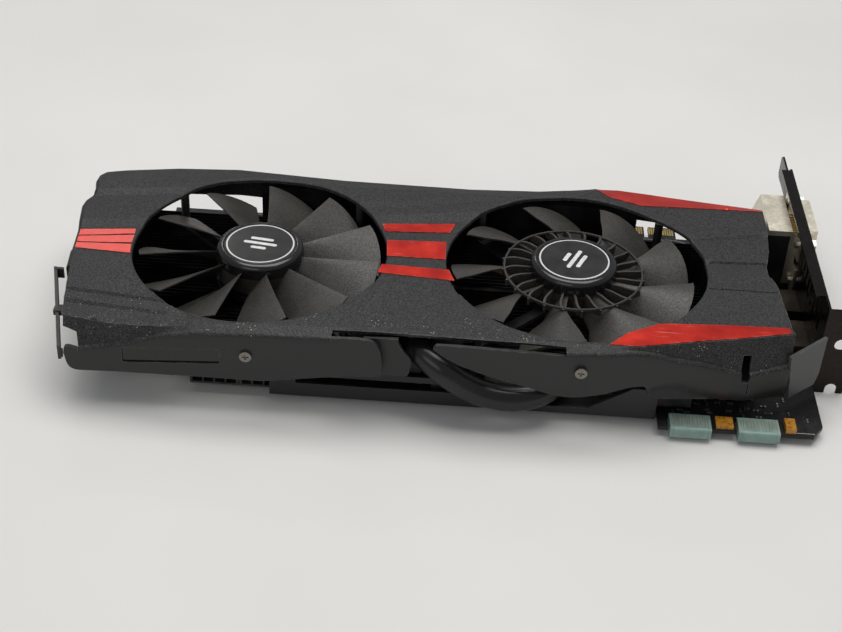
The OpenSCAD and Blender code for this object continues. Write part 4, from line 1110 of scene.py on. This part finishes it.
def build_hub_cap(name):
    """Black domed cap of a hub, with a raised rim round the seat of its label."""
    fan, top = FANS[name], HUB_TOPS[name]
    bm = bmesh.new()
    revolve(bm, [
        (0, top), (13.85, top), (14.0, top + 0.3), (14.3, top + 0.38), (15.0, top + 0.26), (15.8, top - 0.2),
        (16.35, top - 0.9), (HUB_R, top - 1.9), (HUB_R, top - 5.4), (HUB_R - 0.2, top - 5.6),
        (HUB_R - 0.2, top - 1.65), (0, top - 1.65),
    ], 96)
    return place("hub_cap_" + name, bm, "fan_" + name, HUB_BLACK, origin=(fan.x, fan.y, 0))


FIN_CELLS = 8
FIN_ROOT, FIN_TIP = HUB_R - 0.4, 27.3  # radii
FIN_HALF = 0.42  # half of a fin's thickness


def ring_fin(bm, start):
    """A short curved fin between the hub and the inner ring."""
    path = []
    for k in range(FIN_CELLS + 1):
        t = k / FIN_CELLS
        r = FIN_ROOT + (FIN_TIP - FIN_ROOT) * t
        angle = start + 0.1 * t * t + 0.012 * math.sin(math.tau * t)
        path.append(Vector((r * math.cos(angle), r * math.sin(angle))))
    sides = []
    for k, p in enumerate(path):
        along = (path[min(k + 1, FIN_CELLS)] - path[max(k - 1, 0)]).normalized() * FIN_HALF
        low = 31.2 + 1.2 * k / FIN_CELLS
        high = 35.2 + 0.5 * math.sin(math.pi * k / FIN_CELLS)
        left = (p.x - along.y, p.y + along.x)
        right = (p.x + along.y, p.y - along.x)
        corners = [(*left, low), (*right, low), (*right, high), (*left, high)]
        sides.append([bm.verts.new(corner) for corner in corners])
    for a, b in zip(sides, sides[1:]):
        for i in range(4):
            j = (i + 1) % 4
            bm.faces.new((a[i], a[j], b[j], b[i]))
    bm.faces.new(sides[0])
    bm.faces.new(list(reversed(sides[-1])))


FAR_BLADE = {
    "root_r": HUB_R - 0.5, "z": 30.4, "camber": 1.25, "thick": 1.3,
    "width": [(0, 6.5), (0.3, 11), (0.7, 17), (1, 21)],
    "rise": [(0, 8.5), (0.5, 9.6), (1, 10.4)],
    "sweep": [(0, 0.0), (1, 0.05)],
}
NEAR_BLADE = {
    "root_r": HUB_R - 0.5, "z": 30.2, "camber": 1.9, "thick": 1.3,
    "width": [(0, 6), (0.33, 8.5), (0.5, 14), (0.75, 21), (1, 25)],
    "rise": [(0, 7.5), (0.5, 9.6), (1, 10.4)],
    "sweep": [(0, 0.0), (0.5, 0.03), (1, 0.13)],
}


def build_rotor(name, count, spec, turn, ring_fins=0):
    bm = bmesh.new()
    hub_cup(bm, HUB_TOPS[name])
    for k in range(count):
        blade(bm, turn + math.tau * k / count, spec)
    if ring_fins:
        revolve(bm, [(26.0, 34.7), (26.8, 34.7), (26.8, 35.5), (26.6, 35.7), (26.2, 35.7), (26.0, 35.5)], 96)
        for k in range(ring_fins):
            ring_fin(bm, math.tau * k / ring_fins)
    fan = FANS[name]
    return place(
        "rotor_" + name + "_moulded", bm, "fan_" + name, ROTOR, ["rotor_" + name],
        smooth=38, origin=(fan.x, fan.y, 0),
    )


BAR_HALF = 0.8  # half the width of a printed bar


def build_disc(name, ring_r, turn):
    """Hub label: a crowned disc with a printed ring and three neutral bars."""
    fan, top = FANS[name], HUB_TOPS[name]
    bm = bmesh.new()
    revolve(bm, [(0, 0.38), (11, 0.36), (13.2, 0.3), (13.7, 0.18), (13.8, 0.0), (0, 0.0)], 96)
    look = label_print("label_" + name, ring_r)
    centre = (fan.x, fan.y, top)
    place(
        "hub_label_" + name, bm, "fan_" + name, look, ["hub_disc_" + name], origin=centre,
    )
    bm = bmesh.new()
    for y, length in ((3.0, 6.0), (0.0, 13.0), (-3.0, 9.0)):
        bar = rounded_box(-length / 2, y - BAR_HALF, length / 2, y + BAR_HALF, BAR_HALF)
        prism(bm, bar, 0.2, 0.395)
    bmesh.ops.transform(bm, matrix=Matrix.Rotation(turn, 4, "Z"), verts=bm.verts)
    place("hub_marks_" + name, bm, "fan_" + name, WHITE_PRINT, origin=centre)


# ---------------------------------------------------------------- wide heat pipe

PIPE_R = 5.0
PIPE_LINE = [
    (-98.1, -58, 12.8), (-98.1, -88, 12.8), (-98.1, -104, 12.8), (-98.1, -113, 12.8), (-99.8, -122.5, 12.8),
    (-104.8, -129.4, 12.8), (-111.6, -133.2, 12.8), (-119, -134.6, 13.0), (-127.4, -134.6, 14.6),
    (-135.2, -134.6, 18.4), (-142.2, -134.0, 23.2), (-147.6, -131.0, 26.2), (-151.0, -127.0, 27.0),
    (-153.4, -121.5, 27.0), (-155.6, -112, 27.0), (-156.6, -90, 27.0), (-156.6, -40, 27.0),
]


def smooth_line(points, steps):
    """A Catmull-Rom curve through the points."""
    points = [Vector(p) for p in points]
    out = []
    for i in range(len(points) - 1):
        a, b, c = points[max(i - 1, 0)], points[i], points[i + 1]
        d = points[min(i + 2, len(points) - 1)]
        for k in range(steps):
            t = k / steps
            out.append(0.5 * (2 * b + (c - a) * t + (2 * a - 5 * b + 4 * c - d) * t ** 2
                              + (3 * b - a - 3 * c + d) * t ** 3))
    return out + [points[-1]]


def build_wide_pipe():
    """The thick glossy pipe in one even sweep, with closed ends."""
    line, sides = smooth_line(PIPE_LINE, 8), 40
    bm = bmesh.new()
    rings = []
    for i, p in enumerate(line):
        along = (line[min(i + 1, len(line) - 1)] - line[max(i - 1, 0)]).normalized()
        u = Vector((0, 0, 1)).cross(along).normalized()
        v = along.cross(u)
        turns = [math.tau * k / sides for k in range(sides)]
        rings.append([bm.verts.new(p + PIPE_R * (math.cos(a) * u + math.sin(a) * v)) for a in turns])
    for a, b in zip(rings, rings[1:]):
        stitch(bm, a, b, closed=True)
    bm.faces.new(rings[0])
    bm.faces.new(rings[-1])
    place("wide_pipe_drawn", bm, "card", PIPE, ["wide_heat_pipe"], smooth=50)


# ---------------------------------------------------------------- link caps and board details


LINK_TAB = 12.4  # width of the board's tab inside a cap
TAB_PLAY = 0.2  # gap on each side of the tab
MOUTH = (BOARD_LOW - 0.15, BOARD_TOP + 0.15)  # the slit that takes the board
RIBS = 9


def build_cap(letter, material):
    """Silicone cap: a rounded sleeve with fine grip ribs, slit for the board's contacts."""
    node = "link_cap_" + letter
    low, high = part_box(node)
    a, b = (low - CARD) / MM, (high - CARD) / MM
    cheek = (b.x - a.x - LINK_TAB - 2 * TAB_PLAY) / 2
    bm = bmesh.new()
    outer = rounded([
        (a.y, a.z, 1.1), (b.y, a.z, 0.5), (b.y, MOUTH[0], 0.2), (a.y + 2.1, MOUTH[0], 0.2),
        (a.y + 2.1, MOUTH[1], 0.2), (b.y, MOUTH[1], 0.2), (b.y, b.z - 0.2, 0.5), (a.y, b.z - 0.2, 1.1),
    ], 4)
    prism(bm, outer, a.x + cheek, b.x - cheek, "yz")
    for side in ((a.x, a.x + cheek), (b.x - cheek, b.x)):
        wall = rounded([(a.y, a.z, 1.1), (b.y, a.z, 0.6), (b.y, b.z - 0.2, 0.6), (a.y, b.z - 0.2, 1.1)], 4)
        prism(bm, wall, side[0], side[1], "yz")
    for k in range(RIBS):
        x = a.x + 2.2 + k * (b.x - a.x - 4.4) / (RIBS - 1)
        rib = rounded_box(x - 0.35, a.y + 1.4, x + 0.35, b.y - 0.8, 0.3, 3)
        prism(bm, rib, b.z - 0.5, b.z - 0.02)
    piece = place("silicone_cap_" + letter, bm, "cap_" + letter, material, [node], smooth=50)
    return round_edges(piece, 0.18, 2, 50)


def build_small_parts():
    """Resistors, ceramic capacitors, solder and printed marks on the open strip of board."""
    draw = random.Random(7)
    bodies, ends, marks = bmesh.new(), bmesh.new(), bmesh.new()
    top = BOARD_TOP
    places = []
    for k in range(46):
        x = -60 + 55 * draw.random()
        y = -127.4 + 12.5 * draw.random()
        if all(abs(x - u) > 2.4 or abs(y - v) > 1.6 for u, v in places) and y < -114.5:
            places.append((x, y))
    for x, y in places:
        across = draw.random() < 0.4
        w, d = (0.5, 0.9) if across else (0.9, 0.5)
        block(bodies, (x - w * 0.6, y - d * 0.6, top), (x + w * 0.6, y + d * 0.6, top + 0.45))
        for s in (-1, 1):
            cx, cy = (x, y + s * d * 0.85) if across else (x + s * w * 0.85, y)
            ew, ed = (w * 0.66, 0.28) if across else (0.28, d * 0.66)
            block(ends, (cx - ew, cy - ed, top), (cx + ew, cy + ed, top + 0.5))
    for x0, x1 in ((-57.5, -42.9), (-32.5, -17.9)):
        for k in range(9):
            x = x0 + (x1 - x0) * k / 8
            block(marks, (x - 0.14, -127.6, top), (x + 0.14, -127.2, top + 0.03))
    block(marks, (-12.4, -133.9, top), (-4.6, -133.75, top + 0.03))
    place("board_resistors", bodies, "card", CHIP)
    place("board_solder", ends, "card", NICKEL)
    place("board_print", marks, "card", WHITE_PRINT)


# ---------------------------------------------------------------- stage


FLOOR_SIZE = 4000.0


def build_stage():
    bm = bmesh.new()
    bmesh.ops.create_grid(bm, x_segments=40, y_segments=40, size=FLOOR_SIZE / 2)
    mesh = bpy.data.meshes.new("floor")
    bm.to_mesh(mesh)
    bm.free()
    mesh.transform(Matrix.Scale(MM, 4))
    floor = bpy.data.objects.new("floor", mesh)
    bpy.context.scene.collection.objects.link(floor)
    p = Paint("floor_board")
    cloud = p.noise(160.0, 3.0)
    p.colour(p.blend(cloud, (0.66, 0.655, 0.64), (0.70, 0.695, 0.68))).gloss(cloud, (0.5, 0.62))
    mesh.materials.append(p.bump(p.noise(1.5, 3.0), 0.01).material)


def add_light(name, kind, energy, place_at, aim, size, colour=(1, 1, 1)):
    data = bpy.data.lights.new(name, kind)
    data.energy = energy
    data.color = colour
    data.shape = "RECTANGLE"
    data.size, data.size_y = size
    light = bpy.data.objects.new(name, data)
    bpy.context.scene.collection.objects.link(light)
    light.location = place_at
    light.rotation_mode = "QUATERNION"
    light.rotation_quaternion = (Vector(aim) - Vector(place_at)).to_track_quat("-Z", "Y")


def light_scene():
    world = bpy.data.worlds.new("studio")
    bpy.context.scene.world = world
    world.use_nodes = True
    background = world.node_tree.nodes["Background"]
    background.inputs["Color"].default_value = (0.93, 0.96, 1.0, 1)
    background.inputs["Strength"].default_value = 0.31
    add_light("overhead", "AREA", 13.0, (0.05, 0.20, 1.15), (0, -0.02, 0.02), (1.2, 0.8), (1, 0.98, 0.95))
    add_light(
        "back_lamp", "AREA", 1.2, (-0.60, 1.64, 1.15), (-0.14, -0.02, 0.04), (0.34, 0.16), (1, 0.97, 0.92)
    )
    add_light("front_fill", "AREA", 1.9, (-0.45, -1.1, 0.75), (0, 0, 0.02), (0.9, 0.5), (1, 0.99, 0.97))
    bpy.context.scene.view_settings.view_transform = "Standard"


CAMERA_AT = (-141.79, -564.70, 362.27)
CAMERA_RIGHT = (0.997735, 0.052097, 0.042561)
CAMERA_UP = (-0.065113, 0.588880, 0.805593)
SENSOR = 36.0
LENS = 65.04


def add_camera():
    data = bpy.data.cameras.new("camera")
    data.sensor_width = SENSOR
    data.lens = LENS
    data.clip_start, data.clip_end = 0.05, 20
    camera = bpy.data.objects.new("camera", data)
    bpy.context.scene.collection.objects.link(camera)
    right = Vector(CAMERA_RIGHT).normalized()
    up = Vector(CAMERA_UP)
    up = (up - right * up.dot(right)).normalized()
    back = right.cross(up)
    matrix = Matrix((right, up, back)).transposed().to_4x4()
    matrix.translation = CARD + Vector(CAMERA_AT) * MM
    camera.matrix_world = matrix
    bpy.context.scene.camera = camera


# ---------------------------------------------------------------- the scene

WHITE_PRINT = printed_white("white_print")
CAP_RUBBER = silicone("silicone")

add_camera()
light_scene()
build_stage()
dress_cad_nodes()
build_shroud()
build_strips()
build_rotor("far", 11, FAR_BLADE, math.radians(12))
build_rotor("near", 9, NEAR_BLADE, math.radians(12), ring_fins=24)
for fan_name in FANS:
    build_hub_cap(fan_name)
build_disc("far", 12.75, math.radians(172))
build_disc("near", 13.1, math.radians(66))
build_wide_pipe()
for cap_letter in "ab":
    build_cap(cap_letter, CAP_RUBBER)
build_small_parts()
